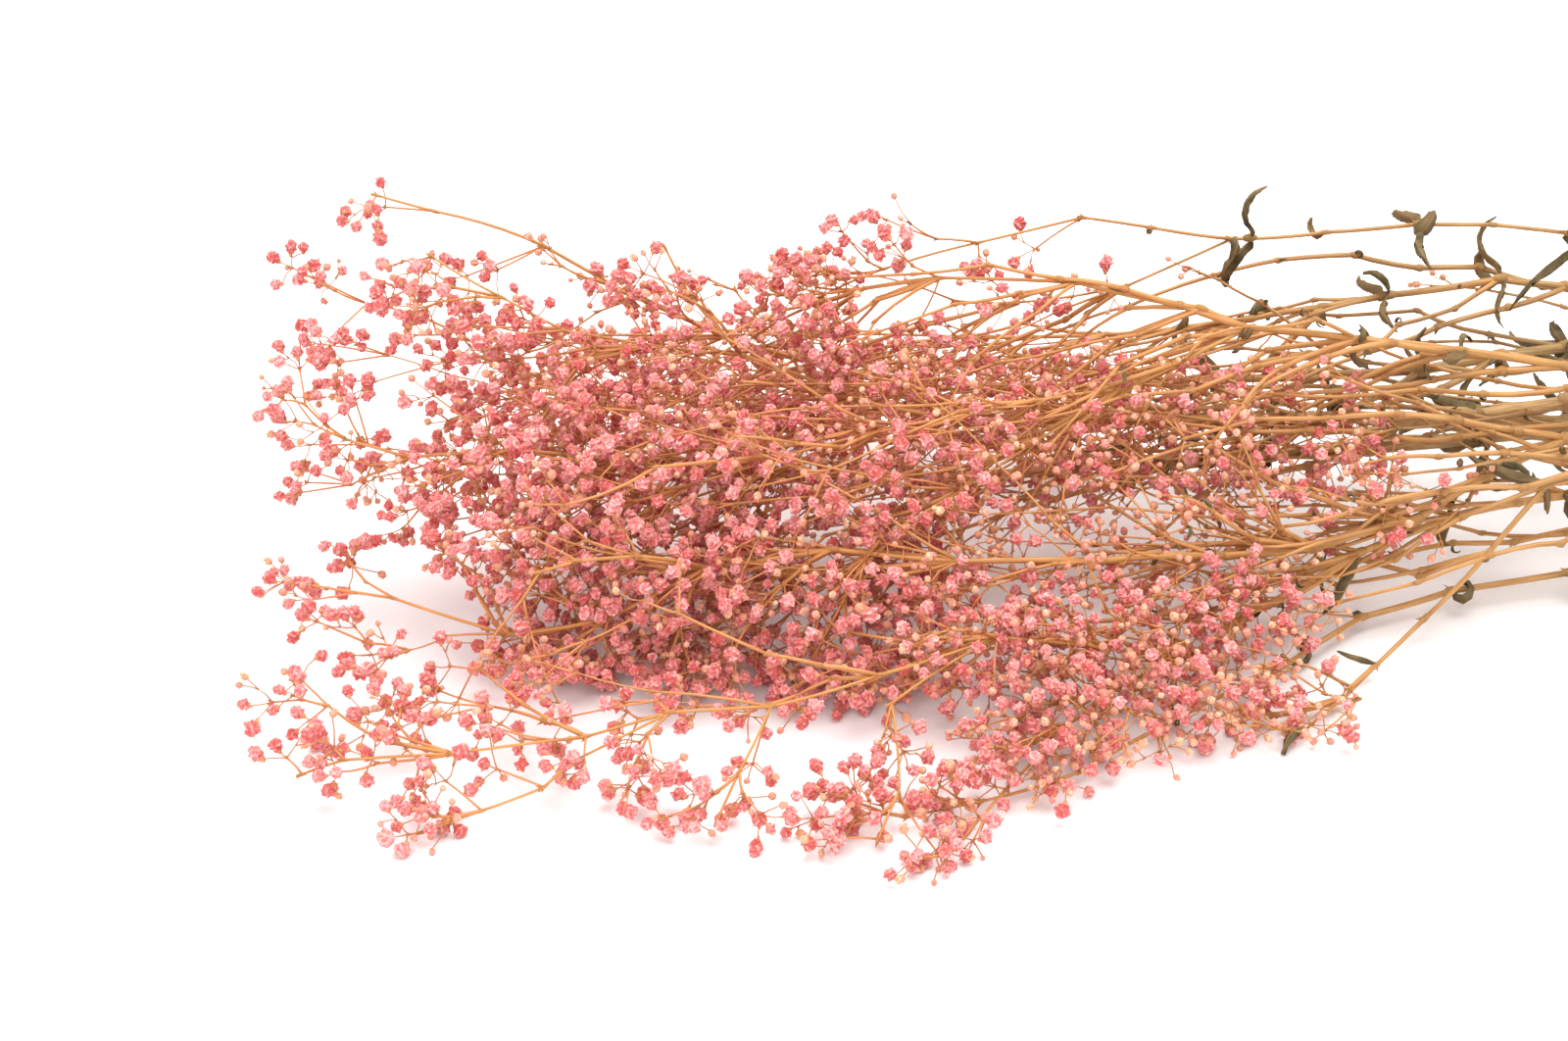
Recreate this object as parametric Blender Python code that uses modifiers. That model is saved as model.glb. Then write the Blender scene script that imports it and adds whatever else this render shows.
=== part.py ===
"""Gypsophila stem: one cut, dried and dyed flowering stem, laid down.

A woody main stem runs along X, from its cut end at +X to its crown. Opposite pairs of branches leave it at
five swollen nodes, lie close beside one another, and fan out at -X into a cloud of forked twigs. Each twig
ends in a small double floret. Pairs of curled, narrow leaves clasp the nodes. Lengths are in millimetres in
the tables, and MM turns them into metres. +Z is up, and the stem lies on the plane Z = 0.
"""

import math
import random

import bmesh
import bpy
from mathutils import Matrix, Vector
from mathutils.geometry import intersect_point_line

MM = 0.001

# Driving dimensions, in millimetres
MAIN_RADIUS_CUT = 3.6
MAIN_RADIUS_CROWN = 2.7
NODE_SWELLING = 0.7
NODE_LENGTH = 5.0
STUB_LENGTH = 15.0
LIMB_TIP_RADIUS = 0.6
TWIG_RADIUS = 0.45
TWIG_ROOT_RADIUS = 0.35
FORK_RADIUS = 0.95
FORK_SINK = 0.8
NODE_SPACING = 25.0
FLORET_RADIUS = 2.9
BUD_RADIUS = 1.5
CALYX_RADIUS = 0.8
CALYX_DEPTH = 2.2
LEAF_THICKNESS = 0.7
COLLAR_THICKNESS = 0.7
GAP = 0.35
# Nodes beyond this X bear no florets
FLOWERING_FROM = 172.0
# Of the twigs that a living spray would have, the share that is built
KEPT_SHARE = 0.29
BUD_SHARE = 0.3
SEED = 1877

# Where the limbs' nodes are: (x, y, z) from the picture's middle, on the plane that the stem lies on
MAIN_STEM = [(436, 44, 3.33), (399, 44, 3.85), (353, 44, 8), (312, 45, 15), (273, 46, 22), (236, 47, 28)]
LIMBS = {
    # name: (branch, radius at the main stem or else the limb that it forks from, nodes)
    "top": ("branch_01", 0.95, [(399, 44, 3.85), (330, 58, 42), (270, 70, 67), (214, 75, 79), (173, 74, 82),
                                (121, 68, 80), (79, 58, 90), (51, 50, 86), (26, 44, 81), (10, 38, 76)]),
    "top_low": ("branch_01", "top", [(121, 68, 80), (93, 62, 69), (63, 55, 67), (37, 48, 64)]),
    "floor": ("branch_02", 1.5, [(399, 44, 3.85), (374, 27, 4), (330, 20, 5), (265, 17, 6), (208, 14, 7), (175, 6, 6),
                                  (149, -6, 5), (117, -36, 4), (94, -52, 3), (69, -74, 3), (45, -86, 3),
                                  (28, -92, 3)]),
    "far": ("branch_03", 2.0, [(353, 44, 8), (300, 64, 28), (262, 76, 38), (221, 80, 43), (179, 75, 38),
                                (123, 71, 37), (68, 64, 38), (16, 57, 46), (-16, 50, 59), (-39, 44, 73),
                                (-62, 40, 89), (-89, 36, 100), (-103, 34, 105)]),
    "near": ("branch_04", 1.6, [(353, 44, 8), (332, 30, 13), (300, 24, 18), (250, 20, 25), (206, 18, 28), (173, 8, 27),
                                 (147, -4, 23), (116, -20, 14), (101, -32, 9), (79, -46, 8), (62, -66, 7),
                                 (51, -84, 5), (38, -104, 3)]),
    "near_front": ("branch_04", "near", [(101, -32, 9), (79, -40, 16), (51, -48, 24), (22, -62, 22),
                                         (-3, -74, 21), (-26, -78, 22), (-45, -82, 18), (-75, -86, 16),
                                         (-100, -84, 13), (-110, -84, 9)]),
    "near_corner": ("branch_04", "near_front", [(-26, -78, 22), (-47, -87, 15), (-54, -92, 11),
                                                (-68, -94, 6), (-81, -98, 3)]),
    "near_low": ("branch_04", "near_front", [(-3, -74, 21), (-10, -90, 14), (-15, -98, 6)]),
    "near_tip": ("branch_04", "near_front", [(51, -48, 24), (25, -68, 18), (26, -90, 8), (21, -102, 4)]),
    "back_high": ("branch_05", 1.5, [(312, 45, 15), (272, 72, 40), (221, 88, 58), (201, 86, 61),
                                      (170, 84, 57), (131, 81, 51), (90, 77, 48), (49, 73, 49),
                                      (14, 68, 52), (-21, 62, 56)]),
    "side": ("branch_06", 1.2, [(312, 45, 15), (265, 20, 36), (222, 6, 44), (193, 0, 40), (179, -6, 24),
                                 (164, -10, 7), (148, -28, 4), (137, -42, 3), (125, -56, 3)]),
    "golden": ("branch_07", 1.5, [(273, 46, 22), (240, 38, 44), (204, 31, 59), (148, 28, 68),
                                   (119, 26, 72), (107, 27, 77), (75, 30, 83), (40, 33, 83), (20, 35, 79),
                                   (0, 36, 77)]),
    "golden_low": ("branch_07", "golden", [(119, 26, 72), (101, 20, 65), (85, 14, 60), (64, 8, 60),
                                           (47, 4, 58), (25, 0, 56), (0, -5, 51), (-24, -10, 45)]),
    "golden_front": ("branch_07", "golden_low", [(85, 14, 60), (64, 2, 52), (44, -10, 44), (24, -24, 38)]),
    "back_low": ("branch_08", 2.0, [(273, 46, 22), (250, 62, 22), (223, 75, 22), (168, 81, 20),
                                     (113, 85, 18), (57, 88, 17), (0, 87, 21), (-56, 80, 28),
                                     (-82, 70, 34)]),
    "middle": ("branch_09", 2.1, [(236, 47, 28), (211, 45, 42), (183, 40, 40), (149, 36, 42),
                                   (116, 30, 44), (82, 25, 46), (51, 22, 48), (18, 24, 53), (-11, 25, 65),
                                   (-24, 26, 81), (-30, 28, 93)]),
    "middle_left": ("branch_09", "middle", [(-11, 25, 65), (-34, 22, 69), (-56, 20, 74), (-71, 20, 83),
                                            (-88, 20, 94)]),
    "front": ("branch_10", 1.6, [(236, 47, 28), (205, 25, 41), (183, 12, 38), (161, 0, 30),
                                  (134, -9, 27), (108, -17, 29), (78, -23, 31), (43, -27, 33),
                                  (12, -28, 37), (-19, -30, 33), (-43, -32, 20), (-68, -30, 14),
                                  (-97, -24, 21), (-120, -22, 24)]),
    "hook": ("branch_10", "front", [(-19, -30, 33), (-35, -37, 40), (-49, -41, 41), (-58, -43, 39),
                                    (-62, -45, 33), (-61, -46, 26)]),
    "crown": ("branch_11", 2.2, [(236, 47, 28), (214, 48, 32), (159, 44, 29), (104, 36, 29),
                                  (51, 26, 30), (0, 18, 34), (-38, 11, 41), (-70, 6, 47), (-95, 4, 46),
                                  (-110, 2, 52)]),
}

# The cloud of florets: (x, y, z), its half sizes along x, y and z, and how many twigs end in it
CLOUD = [
    ((-62, 12, 44), (24, 44, 26), 38),
    ((-40, 12, 44), (28, 48, 26), 48),
    ((-2, 12, 44), (32, 48, 26), 54),
    ((36, 14, 44), (32, 48, 26), 50),
    ((74, 20, 42), (32, 44, 24), 40),
    ((112, 22, 40), (28, 36, 20), 28),
    ((140, 20, 40), (22, 32, 18), 14),
    ((-58, -12, 28), (24, 22, 16), 26),
    ((-80, -6, 34), (12, 16, 12), 8),
    ((-22, -22, 26), (30, 24, 16), 34),
    ((20, -26, 26), (34, 24, 16), 34),
    ((60, -44, 20), (40, 24, 14), 40),
    ((104, -24, 18), (30, 24, 14), 26),
    ((-90, 22, 74), (14, 26, 14), 9),
    ((-112, 12, 48), (10, 26, 18), 7),
    ((-108, 2, 30), (12, 24, 14), 6),
    ((-38, 28, 78), (20, 22, 12), 12),
    ((4, 34, 76), (16, 20, 14), 15),
    ((-76, 24, 78), (14, 20, 9), 4),
    ((-98, 24, 84), (10, 14, 8), 5),
    ((-106, 34, 101), (9, 12, 5), 2),
    ((16, 42, 92), (18, 14, 8), 6),
    ((62, 40, 74), (28, 22, 9), 8),
    ((-124, -18, 23), (8, 12, 7), 4),
    ((-124, 12, 56), (6, 26, 20), 5),
    ((-52, -28, 8), (26, 14, 6), 18),
    ((-16, -34, 8), (26, 14, 6), 18),
    ((16, -42, 10), (24, 14, 7), 16),
    ((-106, -82, 12), (14, 14, 7), 5),
    ((-88, -72, 15), (20, 20, 8), 9),
    ((-82, -96, 6), (12, 10, 4), 6),
    ((-50, -76, 12), (24, 18, 7), 9),
    ((-24, -90, 8), (18, 12, 6), 9),
    ((8, -98, 7), (18, 12, 5), 10),
    ((30, -88, 9), (20, 18, 7), 13),
    ((34, -108, 5), (10, 9, 4), 6),
    ((62, -70, 11), (32, 18, 9), 22),
    ((92, -50, 13), (28, 20, 9), 18),
    ((118, -50, 8), (18, 16, 6), 10),
    ((-52, 86, 26), (46, 24, 20), 26),
    ((6, 92, 25), (50, 24, 20), 30),
    ((60, 88, 27), (46, 20, 18), 20),
    ((-20, 106, 3), (44, 8, 1), 7),
]

# Where pairs of leaves clasp a limb: the limb, and x there
LEAVES = [("top", 300), ("top", 218), ("top", 173), ("top", 126), ("back_high", 250), ("back_high", 201),
          ("back_high", 168), ("far", 221), ("far", 180), ("back_low", 222),
          ("back_low", 184), ("crown", 190), ("middle", 186), ("near", 246), ("floor", 262)]

COLOURS = {
    "stem": (0.42, 0.24, 0.09, 1),
    "spray": (0.72, 0.24, 0.25, 1),
    "leaf": (0.16, 0.13, 0.07, 1),
}


def smooth_line(points, step):
    """Points every step or so along a smooth curve through these points."""
    line = []
    for i in range(len(points) - 1):
        before = points[max(i - 1, 0)]
        start, end = points[i], points[i + 1]
        after = points[min(i + 2, len(points) - 1)]
        pieces = max(1, round((end - start).length / step))
        for k in range(pieces):
            t = k / pieces
            line.append(0.5 * (2 * start + (end - before) * t
                               + (2 * before - 5 * start + 4 * end - after) * t ** 2
                               + (3 * start - before - 3 * end + after) * t ** 3))
    line.append(points[-1].copy())
    return line


def cloud_goals(draw):
    """Where twigs end: in each puff of the cloud, points that keep away from one another.

    Each comes with whether it is one of those that are built, which spread over the whole puff.
    """
    goals = []
    for centre, half, count in CLOUD:
        for n in range(count):
            best, best_gap = None, -1.0
            for _ in range(7):
                ball = Vector([draw.gauss(0, 1) for _ in range(3)]).normalized() * draw.random() ** 0.4
                spot = Vector(centre) + Vector(ball[i] * half[i] for i in range(3))
                if spot.z < FLORET_RADIUS + 1:
                    spot.z = CALYX_DEPTH
                gap = min(((spot - other).length for other, _ in goals), default=1e3)
                if gap > best_gap:
                    best, best_gap = spot, gap
            goals.append((best, n < KEPT_SHARE * count))
    return goals


def share_out(goals, limbs):
    """Gives each goal to the node that it can best grow from: near, and ahead of it at a narrow angle."""
    shares = {}
    for goal, kept in goals:
        best, best_cost = None, 1e9
        for name, nodes in limbs.items():
            for i in range(1, len(nodes)):
                node = nodes[i]
                if node.x > FLOWERING_FROM:
                    continue
                last = i == len(nodes) - 1
                ahead = (node - nodes[i - 1] if last else nodes[i + 1] - node).normalized()
                far = (goal - node).length
                along = ahead.dot(goal - node) / max(far, 1e-6)
                cost = far * (1 + 2.2 * max(0.0, 0.72 - along)) + (30 if far < 7 else 0)
                if cost < best_cost:
                    best, best_cost = (name, i), cost
        shares.setdefault(best, []).append((goal, kept))
    return shares


def groups_of(goals, start, count, draw):
    """Splits goals into this many groups by their direction from start."""
    ways = [(goal - start).normalized() for goal, _ in goals]
    hubs = [ways[draw.randrange(len(ways))]]
    while len(hubs) < count:
        hubs.append(max(ways, key=lambda way: min((way - hub).length for hub in hubs)))
    for _ in range(6):
        groups = [[] for _ in hubs]
        for goal, way in zip(goals, ways):
            groups[min(range(len(hubs)), key=lambda h: (way - hubs[h]).length)].append((goal, way))
        groups = [group for group in groups if group]
        hubs = [sum((way for _, way in group), Vector()).normalized() for group in groups]
    return [[goal for goal, _ in group] for group in groups]


def ramify(twigs, start, heading, goals, parent, limb, draw):
    """Grows the twigs from start to these goals: one straight twig, or one that forks again."""
    twig = {"start": start, "count": len(goals), "parent": parent, "limb": limb,
            "level": 0 if parent is None else twigs[parent]["level"] + 1,
            "ends": len(goals) == 1, "kept": any(kept for _, kept in goals)}
    here = len(twigs)
    twigs.append(twig)
    if twig["ends"]:
        twig["end"] = goals[0][0]
        return
    reach = sum((goal for goal, _ in goals), Vector()) / len(goals) - start
    heading = (heading * 0.35 + reach.normalized() * 0.65).normalized()
    nearest = min(heading.dot(goal - start) for goal, _ in goals)
    length = max(4.0, min(reach.length * draw.uniform(0.4, 0.54), 0.72 * nearest, 34.0))
    fork = start + heading * length
    fork.z = max(fork.z, 1.5)
    twig["end"] = fork
    for group in groups_of(goals, fork, min(len(goals), 3 if len(goals) > 3 else 2), draw):
        ramify(twigs, fork, heading, group, here, limb, draw)


def grow():
    """The whole stem as lines: limbs, as lists of nodes, and twigs, as straight internodes."""
    draw = random.Random(SEED)
    limbs = {name: smooth_line([Vector(p) for p in points], NODE_SPACING)
             for name, (_, _, points) in LIMBS.items()}
    twigs = []
    for (name, i), goals in share_out(cloud_goals(draw), limbs).items():
        node, heading = limbs[name][i], (limbs[name][i] - limbs[name][i - 1]).normalized()
        for group in groups_of(goals, node, min(len(goals), 2 if len(goals) < 9 else 4), draw):
            ramify(twigs, node, heading, group, None, name, draw)
    return limbs, twigs


def limb_radii(name, limbs):
    """The radius at each of a limb's nodes. It thins towards its tip."""
    _, base, _ = LIMBS[name]
    nodes = limbs[name]
    if base in limbs:
        fork = min(range(len(limbs[base])), key=lambda i: (limbs[base][i] - nodes[0]).length)
        base = 0.85 * limb_radii(base, limbs)[fork]
    base = max(base, LIMB_TIP_RADIUS)
    lengths = [0.0]
    for a, b in zip(nodes, nodes[1:]):
        lengths.append(lengths[-1] + (b - a).length)
    return [LIMB_TIP_RADIUS + (base - LIMB_TIP_RADIUS) * (1 - at / lengths[-1]) ** 0.8 for at in lengths]


def near_on(a, b, p):
    """The point of the stretch from a to b that is nearest to p."""
    point, t = intersect_point_line(p, a, b)
    return a.copy() if t < 0 else b.copy() if t > 1 else point


def stretch_gap(a, b, c, d):
    """The distance between two straight stretches."""
    p, q = (a + b) / 2, None
    for _ in range(12):
        q = near_on(c, d, p)
        p = near_on(a, b, q)
    return (p - q).length


class Space:
    """The room that is taken, as thick straight stretches, each with the node that it belongs to."""

    def __init__(self):
        self.taken = []

    def add(self, a, b, radius, owner):
        self.taken.append((a, b, radius, owner, (a + b) / 2, (a - b).length / 2 + radius))

    def is_free(self, a, b, radius, owner):
        middle, reach = (a + b) / 2, (a - b).length / 2 + radius
        for c, d, other_radius, other, other_middle, other_reach in self.taken:
            if other == owner or (middle - other_middle).length > reach + other_reach + GAP:
                continue
            if stretch_gap(a, b, c, d) < radius + other_radius + GAP:
                return False
        return True


def add_object(name, mesh, collection):
    piece = bpy.data.objects.new(name, mesh)
    collection.objects.link(piece)
    return piece


def tube(name, points, radii, sides, collection, turn=0.0):
    """A tapering round bar through these points, as a closed mesh."""
    curve = bpy.data.curves.new(name, "CURVE")
    curve.dimensions = "3D"
    curve.bevel_depth = MM
    curve.bevel_resolution = (sides - 4) // 2
    curve.use_fill_caps = True
    line = curve.splines.new("POLY")
    line.points.add(len(points) - 1)
    for spot, point, radius in zip(line.points, points, radii):
        spot.co = (*(point * MM), 1)
        spot.radius = radius
        spot.tilt = turn
    guide = add_object(name + "_curve", curve, collection)
    bpy.context.view_layer.update()
    mesh = bpy.data.meshes.new_from_object(guide.evaluated_get(bpy.context.evaluated_depsgraph_get()))
    bpy.data.objects.remove(guide)
    shell = bmesh.new()
    shell.from_mesh(mesh)
    bmesh.ops.remove_doubles(shell, verts=shell.verts, dist=0.001 * MM)
    bmesh.ops.recalc_face_normals(shell, faces=shell.faces)
    shell.to_mesh(mesh)
    shell.free()
    return add_object(name, mesh, collection)


def facing(along):
    """The turn that points +Z along this direction."""
    return along.to_track_quat("Z", "Y").to_matrix().to_4x4()


def cone(start, end, radius, end_radius, sides, turn, collection):
    """A straight piece that widens or narrows from one end to the other."""
    shape = bmesh.new()
    place = Matrix.Translation((start + end) / 2 * MM) @ facing(end - start) @ Matrix.Rotation(turn, 4, "Z")
    bmesh.ops.create_cone(shape, cap_ends=True, segments=sides, radius1=radius * MM,
                          radius2=end_radius * MM, depth=(end - start).length * MM, matrix=place)
    mesh = bpy.data.meshes.new("repeat")
    shape.to_mesh(mesh)
    shape.free()
    add_object("repeat", mesh, collection)


def apply_modifiers(piece):
    """Leaves a piece with the plain mesh that its modifiers make."""
    bpy.context.view_layer.update()
    mesh = bpy.data.meshes.new_from_object(piece.evaluated_get(bpy.context.evaluated_depsgraph_get()))
    piece.modifiers.clear()
    piece.data = mesh


def unite(piece, repeats):
    """Fuses a collection of overlapping pieces into one piece, and removes them."""
    union = piece.modifiers.new("repeats", "BOOLEAN")
    union.operation = "UNION"
    union.operand_type = "COLLECTION"
    union.collection = repeats
    union.solver = "MANIFOLD"
    apply_modifiers(piece)
    for other in list(repeats.objects):
        bpy.data.objects.remove(other)
    bpy.data.collections.remove(repeats)


def new_collection(name, parent):
    collection = bpy.data.collections.new(name)
    parent.children.link(collection)
    return collection


def material(name):
    look = bpy.data.materials.new(name)
    look.use_nodes = True
    shader = look.node_tree.nodes["Principled BSDF"]
    shader.inputs["Base Color"].default_value = COLOURS[name]
    shader.inputs["Roughness"].default_value = 0.8
    return look


def main_stem(limbs, space, collection):
    """The woody main stem, swollen at its nodes, with the short arms that its branches sit on."""
    nodes = [Vector(p) for p in MAIN_STEM]
    points, radii = [], []
    for i, node in enumerate(nodes):
        radius = MAIN_RADIUS_CUT + (MAIN_RADIUS_CROWN - MAIN_RADIUS_CUT) * i / (len(nodes) - 1)
        swollen = radius + (NODE_SWELLING if i else 0)
        if 0 < i < len(nodes) - 1:
            points += [node.lerp(nodes[i - 1], NODE_LENGTH / (node - nodes[i - 1]).length), node,
                       node.lerp(nodes[i + 1], NODE_LENGTH / (node - nodes[i + 1]).length)]
            radii += [radius, swollen, radius]
        else:
            points.append(node)
            radii.append(swollen)
    stem = tube("main_stem", points, radii, 8, collection, turn=math.pi / 8)
    for a, b, radius in zip(points, points[1:], radii):
        space.add(a, b, radius + NODE_SWELLING, "main_stem")
    arms = new_collection("arms", collection)
    for name, (_, base, _) in LIMBS.items():
        if base not in limbs:
            start, way = limbs[name][0], (limbs[name][1] - limbs[name][0]).normalized()
            end = start + way * (STUB_LENGTH - GAP)
            tube("arm", [start, end], [base * 1.15, base], 4, arms)
            space.add(start, end, base * 1.1, "main_stem")
    unite(stem, arms)
    return stem


def trimmed_limb(name, limbs):
    """A limb's nodes, starting at the end of the arm that it sits on."""
    nodes = list(limbs[name])
    if LIMBS[name][1] not in limbs:
        nodes[0] = nodes[0] + (nodes[1] - nodes[0]).normalized() * STUB_LENGTH
    return nodes


def branch(name, limbs, twigs, collection):
    """One branch: its limbs, and all the twigs and florets on them, as one body."""
    own = [limb for limb in limbs if LIMBS[limb][0] == name]
    body = tube(name, trimmed_limb(own[0], limbs), limb_radii(own[0], limbs), 6, collection)
    repeats = new_collection(name + "_repeats", collection)
    for limb in own[1:]:
        tube("limb", trimmed_limb(limb, limbs), limb_radii(limb, limbs), 6, repeats)
    draw = random.Random(name)
    for twig in twigs:
        if LIMBS[twig["limb"]][0] != name:
            continue
        way, turn = (twig["end"] - twig["start"]).normalized(), draw.uniform(0, math.tau)
        root = twig["start"] - way * (FORK_SINK if twig["parent"] is not None else 0)
        if not twig["ends"]:
            cone(root, twig["end"], TWIG_ROOT_RADIUS, FORK_RADIUS, 3, turn, repeats)
            continue
        cone(root, twig["end"], TWIG_ROOT_RADIUS, TWIG_RADIUS, 3, turn, repeats)
        lying = twig["end"].z < FLORET_RADIUS
        face = Vector((0, 0, 1)) if lying else way
        if draw.random() < BUD_SHARE and not lying:
            cone(twig["end"] - face * BUD_RADIUS, twig["end"] + face * BUD_RADIUS, CALYX_RADIUS,
                 BUD_RADIUS, 4, turn, repeats)
        else:
            cone(twig["end"] - face * CALYX_DEPTH, twig["end"] + face * 0.3 * FLORET_RADIUS, CALYX_RADIUS,
                 FLORET_RADIUS, 5, turn, repeats)
    unite(body, repeats)
    return body


def built_twigs(twigs):
    """The twigs that lead to a built floret, by number. One that would bear only one other runs on into it."""
    kept = {i: dict(twig) for i, twig in enumerate(twigs) if twig["kept"]}
    borne = {i: 0 for i in kept}
    for twig in kept.values():
        if twig["parent"] is not None:
            borne[twig["parent"]] += 1
    for twig in kept.values():
        under = twig["parent"]
        if under is not None and borne[under] == 1:
            twig["start"], twig["parent"] = kept[under]["start"], kept[under]["parent"]
    return {i: twig for i, twig in kept.items() if borne[i] != 1}


def keep_clear(limbs, twigs, space):
    """The built twigs that stay clear of every other branch. One that can't takes what it bears with it."""
    built = {}
    candidates = built_twigs(twigs)
    for i in sorted(candidates, key=lambda i: candidates[i]["level"]):
        twig = candidates[i]
        if twig["parent"] is not None and twig["parent"] not in built:
            continue
        owner = LIMBS[twig["limb"]][0]
        radius, head = (TWIG_RADIUS, FLORET_RADIUS) if twig["ends"] else (FORK_RADIUS, FORK_RADIUS)
        if space.is_free(twig["start"], twig["end"], radius, owner) and \
                space.is_free(twig["end"], twig["end"], head, owner):
            space.add(twig["start"], twig["end"], radius, owner)
            space.add(twig["end"], twig["end"], head, owner)
            built[i] = twig
    bearing = set()
    for i in sorted(built, reverse=True):
        if built[i]["ends"] or i in bearing:
            bearing.add(i)
            if built[i]["parent"] is not None:
                bearing.add(built[i]["parent"])
    return [built[i] for i in sorted(bearing)]


def leaf_line(root, ahead, out, length, curl, twist):
    """A curled leaf's middle line, as (point, direction across the blade) pairs."""
    way = (ahead * 0.8 + out).normalized()
    across = way.cross(out).normalized()
    line, spot, steps = [], root.copy(), 5
    for i in range(steps + 1):
        line.append((spot.copy(), across.copy()))
        spot += way * length / steps
        way = Matrix.Rotation(curl / steps * (0.5 + i / steps), 3, across) @ way
        across = Matrix.Rotation(twist / steps, 3, way) @ across
    return line


def blade(line, width, collection):
    """A narrow pointed leaf blade along its middle line."""
    shape = bmesh.new()
    steps = len(line) - 1
    bmesh.ops.create_grid(shape, x_segments=steps, y_segments=1, size=1)
    for vert in shape.verts:
        i = round((vert.co.x + 1) / 2 * steps)
        spot, across = line[i]
        half = width / 2 * max(0.22, math.sin(math.pi * (0.12 + 0.86 * i / steps)) ** 0.8)
        vert.co = (spot + across * half * vert.co.y) * MM
    bmesh.ops.triangulate(shape, faces=shape.faces)
    mesh = bpy.data.meshes.new("blade")
    shape.to_mesh(mesh)
    shape.free()
    piece = add_object("blade", mesh, collection)
    solid = piece.modifiers.new("thickness", "SOLIDIFY")
    solid.thickness = LEAF_THICKNESS * MM
    solid.offset = 0
    apply_modifiers(piece)
    return piece


def leaf_pair(name, limb, x, limbs, space, collection):
    """Two dry, curled leaves whose joined base clasps a limb, or nothing if there is no room for them."""
    nodes, radii = trimmed_limb(limb, limbs), limb_radii(limb, limbs)
    i = next(i for i in range(1, len(nodes)) if nodes[i].x < x)
    t = (nodes[i - 1].x - x) / (nodes[i - 1].x - nodes[i].x)
    spot, ahead = nodes[i - 1].lerp(nodes[i], t), (nodes[i] - nodes[i - 1]).normalized()
    inner = radii[i - 1] + GAP
    collar_radius = inner / math.cos(math.pi / 6) + COLLAR_THICKNESS
    reach = collar_radius + COLLAR_THICKNESS
    if not space.is_free(spot - ahead, spot + ahead, reach, LIMBS[limb][0]):
        return None
    draw = random.Random(name)
    side = ahead.orthogonal().normalized()
    for _ in range(40):
        out = Matrix.Rotation(draw.uniform(0, math.tau), 3, ahead) @ side
        pair = [(leaf_line(spot + way * collar_radius, ahead, way, draw.uniform(14, 27),
                           draw.uniform(0.6, 3.4), draw.uniform(-2, 2)), draw.uniform(2.4, 3.8))
                for way in (out, -out)]
        runs = [(a, b, width / 2) for line, width in pair for (a, _), (b, _) in zip(line, line[1:])]
        if all(min(a.z, b.z) > half + LEAF_THICKNESS and space.is_free(a, b, half, name)
               for a, b, half in runs[1:5] + runs[6:]):
            break
    else:
        return None
    for a, b, half in runs:
        space.add(a, b, half, name)
    space.add(spot - ahead, spot + ahead, reach, name)
    bpy.ops.mesh.primitive_torus_add(major_segments=6, minor_segments=4, major_radius=collar_radius * MM,
                                     minor_radius=COLLAR_THICKNESS * MM)
    collar = bpy.context.object
    collar.name = name
    collar.users_collection[0].objects.unlink(collar)
    collection.objects.link(collar)
    collar.data.transform(Matrix.Translation(spot * MM) @ facing(ahead))
    blades = new_collection(name + "_blades", collection)
    for line, width in pair:
        blade(line, width, blades)
    unite(collar, blades)
    return collar


def finish(piece, look):
    piece.data.materials.clear()
    piece.data.materials.append(look)


def set_down(pieces):
    """Moves the stem so that it stands on Z = 0, with its box centred on X and Y."""
    corners = [vert.co for piece in pieces for vert in piece.data.vertices]
    low = Vector(min(corner[i] for corner in corners) for i in range(3))
    high = Vector(max(corner[i] for corner in corners) for i in range(3))
    shift = Matrix.Translation((-(low.x + high.x) / 2, -(low.y + high.y) / 2, -low.z))
    for piece in pieces:
        piece.data.transform(shift)


def main():
    for thing in list(bpy.data.objects):
        bpy.data.objects.remove(thing)
    collection = new_collection("gypsophila_stem", bpy.context.scene.collection)
    limbs, twigs = grow()
    space = Space()
    looks = {name: material(name) for name in COLOURS}
    pieces = [main_stem(limbs, space, collection)]
    finish(pieces[0], looks["stem"])
    for name in limbs:
        nodes, radii = trimmed_limb(name, limbs), limb_radii(name, limbs)
        for a, b, radius in zip(nodes, nodes[1:], radii):
            space.add(a, b, radius, LIMBS[name][0])
    for limb, x in LEAVES:
        number = sum(piece.name.startswith("leaf") for piece in pieces) + 1
        pair = leaf_pair(f"leaf_pair_{number:02d}", limb, x, limbs, space, collection)
        if pair:
            finish(pair, looks["leaf"])
            pieces.append(pair)
    twigs = keep_clear(limbs, twigs, space)
    for name in sorted({LIMBS[limb][0] for limb in limbs}):
        pieces.append(branch(name, limbs, twigs, collection))
        finish(pieces[-1], looks["spray"])
    set_down(pieces)


if __name__ == "__main__":
    main()
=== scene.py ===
"""Gypsophila stem: the looks of one cut, dried and dyed flowering stem.

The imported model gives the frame. Every branch's plain solid is replaced by its limbs, its hair-thin twigs,
their double florets and round buds, which grow along the same lines. The leaf pairs and the main stem are
replaced by finer ones in the same places. Lengths are in millimetres in the tables, and MM turns them into
metres.
"""

import functools
import math
import random

import bpy
import numpy as np
from bpy.props import FloatProperty, FloatVectorProperty, PointerProperty
from mathutils import Matrix, Vector
from mathutils.geometry import intersect_point_line


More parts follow.
